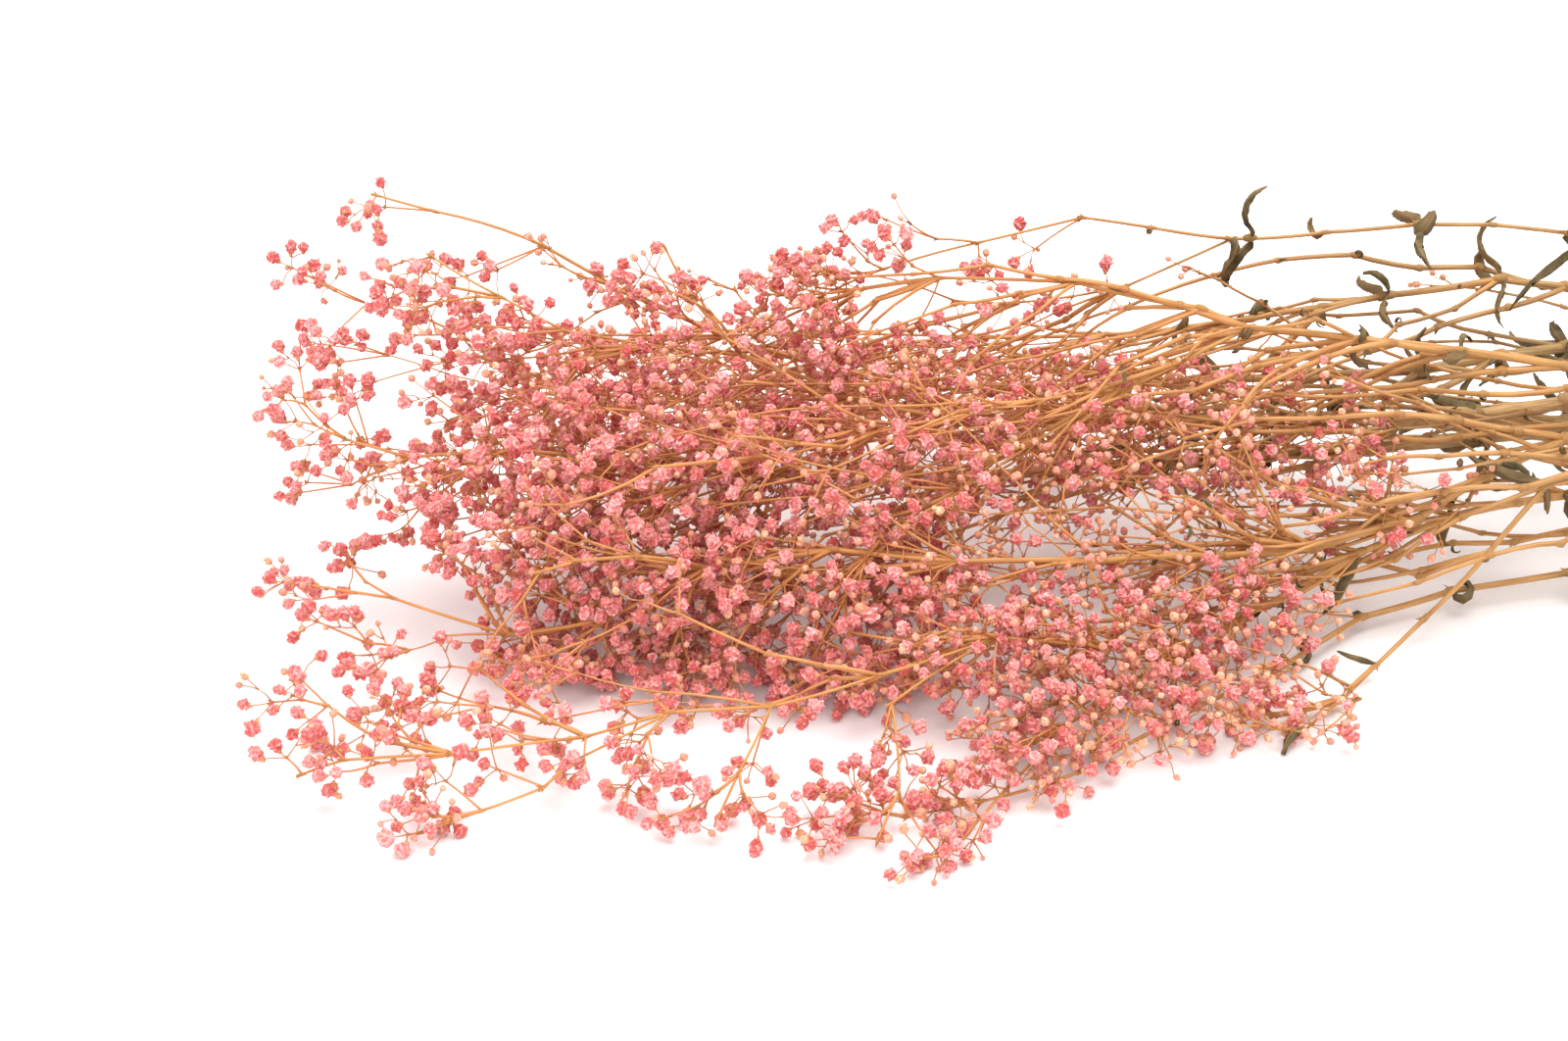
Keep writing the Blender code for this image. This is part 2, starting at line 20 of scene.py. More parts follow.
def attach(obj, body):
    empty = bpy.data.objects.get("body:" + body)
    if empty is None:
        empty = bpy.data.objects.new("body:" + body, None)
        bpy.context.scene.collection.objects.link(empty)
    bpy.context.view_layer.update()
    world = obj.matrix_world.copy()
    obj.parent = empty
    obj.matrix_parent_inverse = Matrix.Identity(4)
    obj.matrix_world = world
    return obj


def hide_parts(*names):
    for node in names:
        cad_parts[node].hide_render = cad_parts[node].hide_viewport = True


bl_info = {
    "name": "Gypsophila Stem",
    "version": (1, 0, 0),
    "blender": (4, 5, 0),
    "location": "3D View > Sidebar > Gypsophila",
    "description": "Dresses a cut, dried gypsophila stem with twigs, double florets, buds and curled leaves",
    "category": "Object",
}

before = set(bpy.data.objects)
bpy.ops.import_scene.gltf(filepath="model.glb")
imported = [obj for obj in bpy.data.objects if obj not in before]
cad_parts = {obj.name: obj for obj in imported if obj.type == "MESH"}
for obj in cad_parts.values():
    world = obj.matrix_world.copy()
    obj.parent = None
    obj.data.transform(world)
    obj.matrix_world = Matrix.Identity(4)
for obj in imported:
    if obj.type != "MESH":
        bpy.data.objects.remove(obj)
bpy.context.view_layer.update()

MM = 0.001
BODY = "root"

# How the stem grows, as in the part's source: lengths in millimetres from the picture's middle
SEED = 1877
NODE_SPACING = 25.0
FLOWERING_FROM = 172.0
FLORET_REACH = 2.9
CALYX_DEPTH = 2.2
GAP = 0.35
STUB_LENGTH = 15.0
LIMB_TIP_RADIUS = 0.6
MAIN_RADIUS_CUT = 3.6
MAIN_RADIUS_CROWN = 2.7
NODE_SWELLING = 0.7
NODE_LENGTH = 5.0
COLLAR_THICKNESS = 0.7
LEAF_THICKNESS = 0.7

# How goals are shared out among the limbs: a turn past this cosine costs more, and so does one this near
NARROW = 0.72
TURN_COST = 2.2
TOO_NEAR = 7
TOO_NEAR_COST = 30

# Where a twig forks: at a share of its reach, but before this share of the way to its nearest goal
FORK_AT = (0.4, 0.54)
FORK_BEFORE = 0.72
SHORTEST_TWIG = 4.0
LONGEST_TWIG = 34.0

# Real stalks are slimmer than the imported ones, the arms less so. Low on the stem, past this X and fully so
# this much further, the limbs and the shoots are stouter by these shares
SLIMNESS = 0.6
SLIMNESS_POWER = 1.28
STOUTER_FROM = 60.0
STOUTER_OVER = 90.0
LIMB_GAIN = 0.35
SHOOT_GAIN = 0.6
ARM_STOUTNESS = 1.35

# Further side shoots, whose twigs fill the dense puffs of the cloud and its airy edge
EXTRA_SHARE = 0.62
DENSE_PUFF = 14
CLUSTER_REACH = 24.0
SHOOT_RADIUS = 0.44
SHOOT_SPACING = 19.0
SHOOT_ASIDE = 0.11
SHOOT_WANDER = 1.1
SHOOT_CEILING = 104.0
CEILING_SLOPE = 0.53
EDGE_FROM = -50.0
EDGE_FRONT = -40.0

# How far at least and at most a shoot reaches, and how closely it follows its limb, up to 1: in the airy
# edge, inside the cloud, and where neither finds a limb
EDGE_REACH = (16, 60, 0.6)
INNER_REACH = (45, 140, 0.8)
ANY_REACH = (14, 200, 0.8)
CROWD_COST = 16
ANGLE_COST = 260
ANGLE_MARGIN = 0.15
DISTANCE_COST = 0.12

# The forked tips of the twigs, and the share of florets at a tip's end and beside it. Past this X, and
# fully so this much further, the shares are less by these losses
FEWER_FROM = -10.0
FEWER_OVER = 100.0
TIP_SHARE = 0.92
TIP_LOSS = 0.46
SIDE_SHARE = 0.66
SIDE_LOSS = 0.4
NECK_LENGTHS = (3.6, 7.0)
STALK_LENGTHS = (3.6, 9.0)
SIDE_STALK_LENGTHS = (3.0, 5.5)
FORKED_SHARE = 0.36
OPENING_SHARE = 0.12
HEAD_SPACING = 2.2
HEAD_LEAN = 0.3

# Florets and buds: smallest, largest and commonest, against an average one
FLORET_SIZES = (0.66, 1.2, 1.0)
BUD_SIZES = (0.6, 1.35, 0.95)
BALL_RADIUS = 0.92
FOLD_DEPTH = 0.74

# The least and the most of a leaf's length, width, curl and twist
LEAF_LENGTHS = (14, 27)
LEAF_WIDTHS = (2.4, 3.8)
LEAF_CURLS = (0.6, 3.4)
LEAF_TWISTS = (-2, 2)

# The withered scraps of leaf hang past this X, are full-sized this much further, and are more numerous on
# branches over this age
LEAFY_FROM = 84.0
LEAFY_OVER = 50.0
LEAFY_AGE = 0.85
SHORTEST_SCRAP = 4
SCRAP_LENGTHS = (1, 21, 8)
SHOOT_SCRAPS = (2, 7)
SCRAP_WIDTH = 1.4

# The cut end, which is sunk into the main stem's last stretch and is a little narrower
CUT_DEPTH = 1.2
CUT_SUNK = 0.35
CUT_FIT = 0.965

# How high withered scraps stay above the floor
FLOOR_GAP = 0.3

MAIN_STEM = [(436, 44, 3.33), (399, 44, 3.85), (353, 44, 8), (312, 45, 15), (273, 46, 22), (236, 47, 28)]
LIMBS = {
    # name: (branch, radius at the main stem or else the limb that it forks from, nodes)
    "top": ("branch_01", 0.95, [(399, 44, 3.85), (330, 58, 42), (270, 70, 67), (214, 75, 79), (173, 74, 82),
                                (121, 68, 80), (79, 58, 90), (51, 50, 86), (26, 44, 81), (10, 38, 76)]),
    "top_low": ("branch_01", "top", [(121, 68, 80), (93, 62, 69), (63, 55, 67), (37, 48, 64)]),
    "floor": ("branch_02", 1.5, [(399, 44, 3.85), (374, 27, 4), (330, 20, 5), (265, 17, 6), (208, 14, 7),
                                  (175, 6, 6), (149, -6, 5), (117, -36, 4), (94, -52, 3), (69, -74, 3),
                                  (45, -86, 3), (28, -92, 3)]),
    "far": ("branch_03", 2.0, [(353, 44, 8), (300, 64, 28), (262, 76, 38), (221, 80, 43), (179, 75, 38),
                                (123, 71, 37), (68, 64, 38), (16, 57, 46), (-16, 50, 59), (-39, 44, 73),
                                (-62, 40, 89), (-89, 36, 100), (-103, 34, 105)]),
    "near": ("branch_04", 1.6, [(353, 44, 8), (332, 30, 13), (300, 24, 18), (250, 20, 25), (206, 18, 28),
                                 (173, 8, 27), (147, -4, 23), (116, -20, 14), (101, -32, 9), (79, -46, 8),
                                 (62, -66, 7), (51, -84, 5), (38, -104, 3)]),
    "near_front": ("branch_04", "near", [(101, -32, 9), (79, -40, 16), (51, -48, 24), (22, -62, 22),
                                         (-3, -74, 21), (-26, -78, 22), (-45, -82, 18), (-75, -86, 16),
                                         (-100, -84, 13), (-110, -84, 9)]),
    "near_corner": ("branch_04", "near_front", [(-26, -78, 22), (-47, -87, 15), (-54, -92, 11),
                                                (-68, -94, 6), (-81, -98, 3)]),
    "near_low": ("branch_04", "near_front", [(-3, -74, 21), (-10, -90, 14), (-15, -98, 6)]),
    "near_tip": ("branch_04", "near_front", [(51, -48, 24), (25, -68, 18), (26, -90, 8), (21, -102, 4)]),
    "back_high": ("branch_05", 1.5, [(312, 45, 15), (272, 72, 40), (221, 88, 58), (201, 86, 61),
                                      (170, 84, 57), (131, 81, 51), (90, 77, 48), (49, 73, 49),
                                      (14, 68, 52), (-21, 62, 56)]),
    "side": ("branch_06", 1.2, [(312, 45, 15), (265, 20, 36), (222, 6, 44), (193, 0, 40), (179, -6, 24),
                                 (164, -10, 7), (148, -28, 4), (137, -42, 3), (125, -56, 3)]),
    "golden": ("branch_07", 1.5, [(273, 46, 22), (240, 38, 44), (204, 31, 59), (148, 28, 68),
                                   (119, 26, 72), (107, 27, 77), (75, 30, 83), (40, 33, 83), (20, 35, 79),
                                   (0, 36, 77)]),
    "golden_low": ("branch_07", "golden", [(119, 26, 72), (101, 20, 65), (85, 14, 60), (64, 8, 60),
                                           (47, 4, 58), (25, 0, 56), (0, -5, 51), (-24, -10, 45)]),
    "golden_front": ("branch_07", "golden_low", [(85, 14, 60), (64, 2, 52), (44, -10, 44), (24, -24, 38)]),
    "back_low": ("branch_08", 2.0, [(273, 46, 22), (250, 62, 22), (223, 75, 22), (168, 81, 20),
                                     (113, 85, 18), (57, 88, 17), (0, 87, 21), (-56, 80, 28),
                                     (-82, 70, 34)]),
    "middle": ("branch_09", 2.1, [(236, 47, 28), (211, 45, 42), (183, 40, 40), (149, 36, 42),
                                   (116, 30, 44), (82, 25, 46), (51, 22, 48), (18, 24, 53), (-11, 25, 65),
                                   (-24, 26, 81), (-30, 28, 93)]),
    "middle_left": ("branch_09", "middle", [(-11, 25, 65), (-34, 22, 69), (-56, 20, 74), (-71, 20, 83),
                                            (-88, 20, 94)]),
    "front": ("branch_10", 1.6, [(236, 47, 28), (205, 25, 41), (183, 12, 38), (161, 0, 30),
                                  (134, -9, 27), (108, -17, 29), (78, -23, 31), (43, -27, 33),
                                  (12, -28, 37), (-19, -30, 33), (-43, -32, 20), (-68, -30, 14),
                                  (-97, -24, 21), (-120, -22, 24)]),
    "hook": ("branch_10", "front", [(-19, -30, 33), (-35, -37, 40), (-49, -41, 41), (-58, -43, 39),
                                    (-62, -45, 33), (-61, -46, 26)]),
    "crown": ("branch_11", 2.2, [(236, 47, 28), (214, 48, 32), (159, 44, 29), (104, 36, 29),
                                  (51, 26, 30), (0, 18, 34), (-38, 11, 41), (-70, 6, 47), (-95, 4, 46),
                                  (-110, 2, 52)]),
}
BRANCHES = sorted({branch for branch, _, _ in LIMBS.values()})
# How old and brown each branch looks at its root, from 0 to 1
AGES = {"branch_01": 0.7, "branch_02": 0.55, "branch_03": 1.0, "branch_04": 0.45, "branch_05": 0.8,
        "branch_06": 0.5, "branch_07": 0.4, "branch_08": 1.0, "branch_09": 0.9, "branch_10": 0.5,
        "branch_11": 1.0}

# The cloud of florets: (x, y, z), its half sizes along x, y and z, and how many twigs end in it
CLOUD = [
    ((-62, 12, 44), (24, 44, 26), 38),
    ((-40, 12, 44), (28, 48, 26), 48),
    ((-2, 12, 44), (32, 48, 26), 54),
    ((36, 14, 44), (32, 48, 26), 50),
    ((74, 20, 42), (32, 44, 24), 40),
    ((112, 22, 40), (28, 36, 20), 28),
    ((140, 20, 40), (22, 32, 18), 14),
    ((-58, -12, 28), (24, 22, 16), 26),
    ((-80, -6, 34), (12, 16, 12), 8),
    ((-22, -22, 26), (30, 24, 16), 34),
    ((20, -26, 26), (34, 24, 16), 34),
    ((60, -44, 20), (40, 24, 14), 40),
    ((104, -24, 18), (30, 24, 14), 26),
    ((-90, 22, 74), (14, 26, 14), 9),
    ((-112, 12, 48), (10, 26, 18), 7),
    ((-108, 2, 30), (12, 24, 14), 6),
    ((-38, 28, 78), (20, 22, 12), 12),
    ((4, 34, 76), (16, 20, 14), 15),
    ((-76, 24, 78), (14, 20, 9), 4),
    ((-98, 24, 84), (10, 14, 8), 5),
    ((-106, 34, 101), (9, 12, 5), 2),
    ((16, 42, 92), (18, 14, 8), 6),
    ((62, 40, 74), (28, 22, 9), 8),
    ((-124, -18, 23), (8, 12, 7), 4),
    ((-124, 12, 56), (6, 26, 20), 5),
    ((-52, -28, 8), (26, 14, 6), 18),
    ((-16, -34, 8), (26, 14, 6), 18),
    ((16, -42, 10), (24, 14, 7), 16),
    ((-106, -82, 12), (14, 14, 7), 5),
    ((-88, -72, 15), (20, 20, 8), 9),
    ((-82, -96, 6), (12, 10, 4), 6),
    ((-50, -76, 12), (24, 18, 7), 9),
    ((-24, -90, 8), (18, 12, 6), 9),
    ((8, -98, 7), (18, 12, 5), 10),
    ((30, -88, 9), (20, 18, 7), 13),
    ((34, -108, 5), (10, 9, 4), 6),
    ((62, -70, 11), (32, 18, 9), 22),
    ((92, -50, 13), (28, 20, 9), 18),
    ((118, -50, 8), (18, 16, 6), 10),
    ((-52, 86, 26), (46, 24, 20), 26),
    ((6, 92, 25), (50, 24, 20), 30),
    ((60, 88, 27), (46, 20, 18), 20),
    ((-20, 106, 3), (44, 8, 1), 7),
]

# The airy edge at the left and the front, in the same terms, which the solids leave out
EDGE_PUFFS = [
    ((-108, -48, 20), (20, 14, 10), 5),
    ((-90, -62, 16), (18, 12, 8), 5),
    ((-66, -58, 16), (16, 12, 8), 4),
    ((-118, -62, 12), (12, 12, 8), 3),
    ((-130, 58, 76), (8, 12, 10), 3),
    ((-122, 46, 58), (10, 14, 12), 5),
    ((-128, 10, 42), (7, 14, 10), 3),
    ((-40, -72, 15), (20, 12, 8), 4),
    ((-6, -78, 13), (20, 12, 7), 3),
    ((112, -58, 8), (24, 12, 6), 6),
    ((150, 6, 34), (22, 22, 16), 8),
    ((-88, 6, 38), (12, 26, 18), 14),
    ((-78, 30, 58), (16, 26, 16), 12),
]

# Thin shoots that bear hardly a bud: how many, where they end (x from and to, y and z with their spreads),
# how far at least and at most from where they leave their limb, and how closely they follow it, up to 1
BARE_SHOOTS = [
    (24, (20, 190), (34, 30), (42, 17), (110, 280), 0.78),
    (40, (-60, 130), (24, 30), (38, 18), (50, 180), 0.7),
    (120, (-60, 130), (14, 36), (40, 18), (18, 65), 0.52),
]

# Limbs that bear no side shoots of their own
LONELY = ("top", "hook", "floor")

# Where pairs of leaves clasp a limb: the limb, and x there
LEAVES = [("top", 300), ("top", 218), ("top", 173), ("top", 126), ("back_high", 250), ("back_high", 201),
          ("back_high", 168), ("far", 221), ("far", 180), ("back_low", 222),
          ("back_low", 184), ("crown", 190), ("middle", 186), ("near", 246), ("floor", 262)]

# The photograph's view: it looks along +Y and down, at a point above the middle of the picture
VIEW_ELEVATION = math.radians(28)
VIEW_DISTANCE = 611.0
VIEW_AIM = (0.0, 0.0, 30.0)
VIEW_LENS = 55.0

# The stage. The lights' names are followed by their place and width in metres and their power in watts
FLOOR_WIDTH = 8
SKY_STRENGTH = 0.7
SOFTBOXES = [("overhead", (0.1, 0.15, 1.3), 1.3, 24.0), ("front", (-0.5, -1.1, 0.9), 0.9, 8.5)]


def paint(red, green, blue):
    """A colour as it is seen, 0 to 255, turned into the linear values that shaders take."""
    return tuple(((seen / 255 + 0.055) / 1.055) ** 2.4 if seen > 10 else seen / 255 / 12.92
                 for seen in (red, green, blue))


def length_value(name, description, default):
    return FloatProperty(name=name, description=description, default=default * MM, unit="LENGTH", precision=5)


def colour_value(name, description, *seen):
    return FloatVectorProperty(name=name, description=description, subtype="COLOR", default=paint(*seen),
                               min=0, max=1)


class StemSizes(bpy.types.PropertyGroup):
    """Sizes that can be changed before the stem is dressed."""

    floret_radius: length_value("Floret radius", "Half the width of an average double floret", 2.2)
    bud_radius: length_value("Bud radius", "Half the width of an average bud", 1.0)
    twig_radius: length_value("Twig radius", "Radius of a twig that bears one tip", 0.27)
    stalk_radius: length_value("Stalk radius", "Radius of a floret's own stalk", 0.17)


class StemColours(bpy.types.PropertyGroup):
    """Colours that can be changed before the stem is dressed."""

    petal: colour_value("Petals", "Dyed petals in the light", 234, 150, 148)
    # petal_deep_and_shade is also painted shade: petal_look lays it in the hollows of each floret and the
    # dips of its crinkles
    petal_deep_and_shade: colour_value("Deep petals", "Petals that took up more dye, and the hollows", 208, 96, 92)
    petal_edge: colour_value("Petal edges", "Faded edges of the petals", 248, 204, 198)
    calyx: colour_value("Calyx", "The cup under a floret", 212, 152, 116)
    bud: colour_value("Buds", "Closed buds", 228, 152, 140)
    bud_pale: colour_value("Pale buds", "Buds that took up little dye", 236, 198, 162)
    limb: colour_value("Limbs", "Golden straw of the limbs", 216, 158, 88)
    limb_dark: colour_value("Limb streaks", "Darker streaks along a limb", 192, 130, 66)
    twig: colour_value("Twigs", "Thin twigs, stained by the dye", 222, 137, 96)
    wood: colour_value("Old wood", "Khaki brown of the lower stem", 180, 148, 98)
    wood_dark: colour_value("Dark wood", "Dark streaks and patches of the lower stem", 134, 104, 66)
    leaf: colour_value("Leaves", "Dry leaves", 124, 108, 74)
    leaf_dark: colour_value("Dark leaves", "Curled and shaded parts of dry leaves", 72, 64, 42)
    cut: colour_value("Cut wood", "The face where the stem was cut", 222, 198, 152)
    pith: colour_value("Pith", "The soft middle of the cut face", 176, 136, 88)
    floor: colour_value("Floor", "Plain pale floor", 250, 248, 248)


def ramp(value, start, over):
    """0 up to start, 1 once value is this far over it, and evenly in between."""
    return min(1.0, max(0.0, (value - start) / over))


def scatter(draw, spread):
    """A random step that may go any way."""
    return Vector([draw.gauss(0, spread) for _ in range(3)])


def smooth_line(points, step):
    """Points every step or so along a smooth curve through these points."""
    line = []
    for i in range(len(points) - 1):
        before = points[max(i - 1, 0)]
        start, end = points[i], points[i + 1]
        after = points[min(i + 2, len(points) - 1)]
        pieces = max(1, round((end - start).length / step))
        for k in range(pieces):
            t = k / pieces
            line.append(0.5 * (2 * start + (end - before) * t
                               + (2 * before - 5 * start + 4 * end - after) * t ** 2
                               + (3 * start - before - 3 * end + after) * t ** 3))
    line.append(points[-1].copy())
    return line


def cloud_goals(draw):
    """Where twigs end: in each puff of the cloud, points that keep away from one another."""
    goals = []
    for centre, half, count in CLOUD:
        for _ in range(count):
            best, best_gap = None, -1.0
            for _ in range(7):
                ball = scatter(draw, 1).normalized() * draw.random() ** 0.4
                spot = Vector(centre) + Vector(ball[i] * half[i] for i in range(3))
                if spot.z < FLORET_REACH + 1:
                    spot.z = CALYX_DEPTH
                gap = min(((spot - other).length for other in goals), default=1e3)
                if gap > best_gap:
                    best, best_gap = spot, gap
            goals.append(best)
    return goals


def share_out(goals, limbs):
    """Gives each goal to the node that it can best grow from: near, and ahead of it at a narrow angle."""
    shares = {}
    for goal in goals:
        best, best_cost = None, 1e9
        for name, nodes in limbs.items():
            for i in range(1, len(nodes)):
                node = nodes[i]
                if node.x > FLOWERING_FROM:
                    continue
                last = i == len(nodes) - 1
                ahead = (node - nodes[i - 1] if last else nodes[i + 1] - node).normalized()
                far = (goal - node).length
                along = ahead.dot(goal - node) / max(far, 1e-6)
                cost = far * (1 + TURN_COST * max(0.0, NARROW - along))
                cost += TOO_NEAR_COST if far < TOO_NEAR else 0
                if cost < best_cost:
                    best, best_cost = (name, i), cost
        shares.setdefault(best, []).append(goal)
    return shares


def groups_of(goals, start, count, draw):
    """Splits goals into this many groups by their direction from start."""
    ways = [(goal - start).normalized() for goal in goals]
    hubs = [ways[draw.randrange(len(ways))]]
    while len(hubs) < count:
        hubs.append(max(ways, key=lambda way: min((way - hub).length for hub in hubs)))
    for _ in range(6):
        groups = [[] for _ in hubs]
        for goal, way in zip(goals, ways):
            groups[min(range(len(hubs)), key=lambda h: (way - hubs[h]).length)].append((goal, way))
        groups = [group for group in groups if group]
        hubs = [sum((way for _, way in group), Vector()).normalized() for group in groups]
    return [[goal for goal, _ in group] for group in groups]


def ramify(twigs, start, heading, goals, limb, draw):
    """Grows the twigs from start to these goals: one straight twig, or one that forks again."""
    twig = {"start": start, "count": len(goals), "limb": limb, "ends": len(goals) == 1}
    twigs.append(twig)
    if twig["ends"]:
        twig["end"] = goals[0]
        return
    reach = sum(goals, Vector()) / len(goals) - start
    heading = (heading * 0.35 + reach.normalized() * 0.65).normalized()
    nearest = min(heading.dot(goal - start) for goal in goals)
    length = min(reach.length * draw.uniform(*FORK_AT), FORK_BEFORE * nearest, LONGEST_TWIG)
    fork = start + heading * max(SHORTEST_TWIG, length)
    fork.z = max(fork.z, 1.5)
    twig["end"] = fork
    for group in groups_of(goals, fork, min(len(goals), 3 if len(goals) > 3 else 2), draw):
        ramify(twigs, fork, heading, group, limb, draw)


@functools.cache
def grow():
    """The whole stem as lines: limbs, as lists of nodes, and twigs, as straight internodes."""
    draw = random.Random(SEED)
    limbs = {name: smooth_line([Vector(p) for p in points], NODE_SPACING)
             for name, (_, _, points) in LIMBS.items()}
    twigs = []
    for (name, i), goals in share_out(cloud_goals(draw), limbs).items():
        node, heading = limbs[name][i], (limbs[name][i] - limbs[name][i - 1]).normalized()
        for group in groups_of(goals, node, min(len(goals), 2 if len(goals) < 9 else 4), draw):
            ramify(twigs, node, heading, group, name, draw)
    return limbs, twigs


@functools.cache
def limb_radii(name):
    """The radius at each of a limb's nodes. It thins towards its tip."""
    limbs, _ = grow()
    _, base, _ = LIMBS[name]
    nodes = limbs[name]
    if base in limbs:
        fork = min(range(len(limbs[base])), key=lambda i: (limbs[base][i] - nodes[0]).length)
        base = 0.85 * limb_radii(base)[fork]
    base = max(base, LIMB_TIP_RADIUS)
    lengths = [0.0]
    for a, b in zip(nodes, nodes[1:]):
        lengths.append(lengths[-1] + (b - a).length)
    return [LIMB_TIP_RADIUS + (base - LIMB_TIP_RADIUS) * (1 - at / lengths[-1]) ** 0.8 for at in lengths]


def slim(radius):
    """A stalk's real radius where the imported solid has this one, which is stouter to be printable."""
    return SLIMNESS * radius ** SLIMNESS_POWER


def stouter(nodes, gain):
    """How many times thicker a stalk is at each node, for the nodes low on the stem."""
    return np.array([1 + gain * ramp(node.x, STOUTER_FROM, STOUTER_OVER) for node in nodes])


def trimmed_limb(name):
    """A limb's nodes, starting at the end of the arm that it sits on."""
    nodes = list(grow()[0][name])
    if LIMBS[name][1] not in LIMBS:
        nodes[0] = nodes[0] + (nodes[1] - nodes[0]).normalized() * STUB_LENGTH
    return nodes


@functools.cache
def extra_goals():
    """Further places in the cloud where twigs end, away from the ones that the solids are made for."""
    draw = np.random.default_rng(SEED)
    found = np.array([twig["end"] for twig in grow()[1] if twig["ends"]])
    extra = []
    dense = [(centre, half, round(count * EXTRA_SHARE)) for centre, half, count in CLOUD
             if count >= DENSE_PUFF]
    for centre, half, count in dense + EDGE_PUFFS:
        for _ in range(count):
            ball = draw.normal(0, 1, (8, 3))
            ball *= draw.random((8, 1)) ** 0.4 / np.linalg.norm(ball, axis=1, keepdims=True)
            spots = np.array(centre) + ball * half
            spots[:, 2] = np.where(spots[:, 2] < FLORET_REACH + 1, CALYX_DEPTH, spots[:, 2])
            gaps = np.linalg.norm(spots[:, None] - found[None], axis=2).min(axis=1)
            found = np.vstack([found, spots[gaps.argmax()]])
            extra.append(Vector(found[-1]))
    return extra


def shoot_line(start, heading, end, draw):
    """A thin side shoot's nodes: it leaves at a narrow angle and wanders over to its end."""
    reach = (end - start).length
    aside = scatter(draw, SHOOT_ASIDE)
    bend = start + (heading * 0.26 + (end - start).normalized() * 0.24 + aside) * reach
    count = max(2, round(reach / SHOOT_SPACING))
    nodes = []
    for k in range(count + 1):
        t = k / count
        spot = start * (1 - t) ** 2 + bend * 2 * t * (1 - t) + end * t ** 2
        if 0 < k < count:
            spot += scatter(draw, SHOOT_WANDER)
        spot.z = max(spot.z, 1.2)
        nodes.append(spot)
    return nodes


def shoot_root(aim, crowd, least, most, follow):
    """The limb node that a shoot to aim best leaves from: well behind it, and in line with it."""
    best, best_cost = None, 1e9
    for name, nodes in grow()[0].items():
        for i in range(1, len(nodes) - 1):
            ahead = (nodes[i + 1] - nodes[i]).normalized()
            far = (aim - nodes[i]).length
            if not least < far < most or name in LONELY:
                continue
            along = ahead.dot(aim - nodes[i]) / far
            cost = (max(0, follow + ANGLE_MARGIN - along) * ANGLE_COST + CROWD_COST * crowd.get((name, i), 0)
                    + DISTANCE_COST * far)
            if along > follow and cost < best_cost:
                best, best_cost = (name, i), cost
    return best


def leave_limb(root, crowd):
    """Counts a shoot at its root. Gives the limb's name, where the root is and where the limb heads."""
    crowd[root] = crowd.get(root, 0) + 1
    name, i = root
    nodes = grow()[0][name]
    return name, nodes[i], (nodes[i + 1] - nodes[i]).normalized()


def bearing_shoots(crowd, draw):
    """Side shoots to the further places where twigs end, each to a few that are near one another."""
    left, shoots, twigs = extra_goals()[:], [], []
    while left:
        first = left.pop(draw.randrange(len(left)))
        left.sort(key=lambda goal: (goal - first).length)
        count = min(len(left), draw.choice((2, 3, 3, 4)))
        near = [goal for goal in left[:count] if (goal - first).length < CLUSTER_REACH]
        left = left[len(near):]
        goals = [first] + near
        middle = sum(goals, Vector()) / len(goals)
        at_edge = middle.x < EDGE_FROM or middle.y < EDGE_FRONT
        root = shoot_root(middle, crowd, *(EDGE_REACH if at_edge else INNER_REACH))
        root = root or shoot_root(middle, crowd, *ANY_REACH)
        if root is None:
            continue
        name, start, heading = leave_limb(root, crowd)
        fork = middle - ((middle - start).normalized() + heading).normalized() * draw.uniform(12, 20)
        nodes = shoot_line(start, heading, fork, draw)
        shoots.append((name, nodes))
        way = (nodes[-1] - nodes[-2]).normalized()
        for group in groups_of(goals, nodes[-1], min(len(goals), 3), draw):
            ramify(twigs, nodes[-1], way, group, name, draw)
    return shoots, twigs


def bare_shoots(crowd, draw):
    """Thin shoots that end in two or three short twigs and hardly bear."""
    shoots, twigs = [], []
    for count, reach, depth, height, lengths, follow in BARE_SHOOTS:
        for _ in range(count):
            aim = Vector((draw.uniform(*reach), draw.gauss(*depth), max(4, draw.gauss(*height))))
            aim.z = min(aim.z, SHOOT_CEILING - CEILING_SLOPE * aim.y)
            root = shoot_root(aim, crowd, *lengths, follow)
            if root is None:
                continue
            name, start, heading = leave_limb(root, crowd)
            nodes = shoot_line(start, heading, aim, draw)
            shoots.append((name, nodes))
            way = (nodes[-1] - nodes[-2]).normalized()
            for _ in range(draw.choice((2, 2, 3))):
                end = nodes[-1] + (way + scatter(draw, 0.5)).normalized() * draw.uniform(6, 16)
                end.z = max(end.z, 2)
                twigs.append({"start": nodes[-1], "end": end, "count": 1, "limb": name, "ends": True,
                              "bare": True})
    return shoots, twigs


@functools.cache
def grow_shoots():
    """The thin side shoots, as (limb, nodes), and the twigs that they bear."""
    crowd, draw = {}, random.Random(SEED + 1)
    shoots, twigs = bearing_shoots(crowd, draw)
    bare, bare_twigs = bare_shoots(crowd, draw)
    return shoots + bare, twigs + bare_twigs


def main_stem_line():
    """The main stem's points and radii, swollen at its nodes."""
    nodes = [Vector(p) for p in MAIN_STEM]
    points, radii = [], []
    for i, node in enumerate(nodes):
        radius = MAIN_RADIUS_CUT + (MAIN_RADIUS_CROWN - MAIN_RADIUS_CUT) * i / (len(nodes) - 1)
        swollen = radius + (NODE_SWELLING if i else 0)
        if 0 < i < len(nodes) - 1:
            points += [node.lerp(nodes[i - 1], NODE_LENGTH / (node - nodes[i - 1]).length), node,
                       node.lerp(nodes[i + 1], NODE_LENGTH / (node - nodes[i + 1]).length)]
            radii += [radius, swollen, radius]
        else:
            points.append(node)
            radii.append(swollen)
    return points, radii


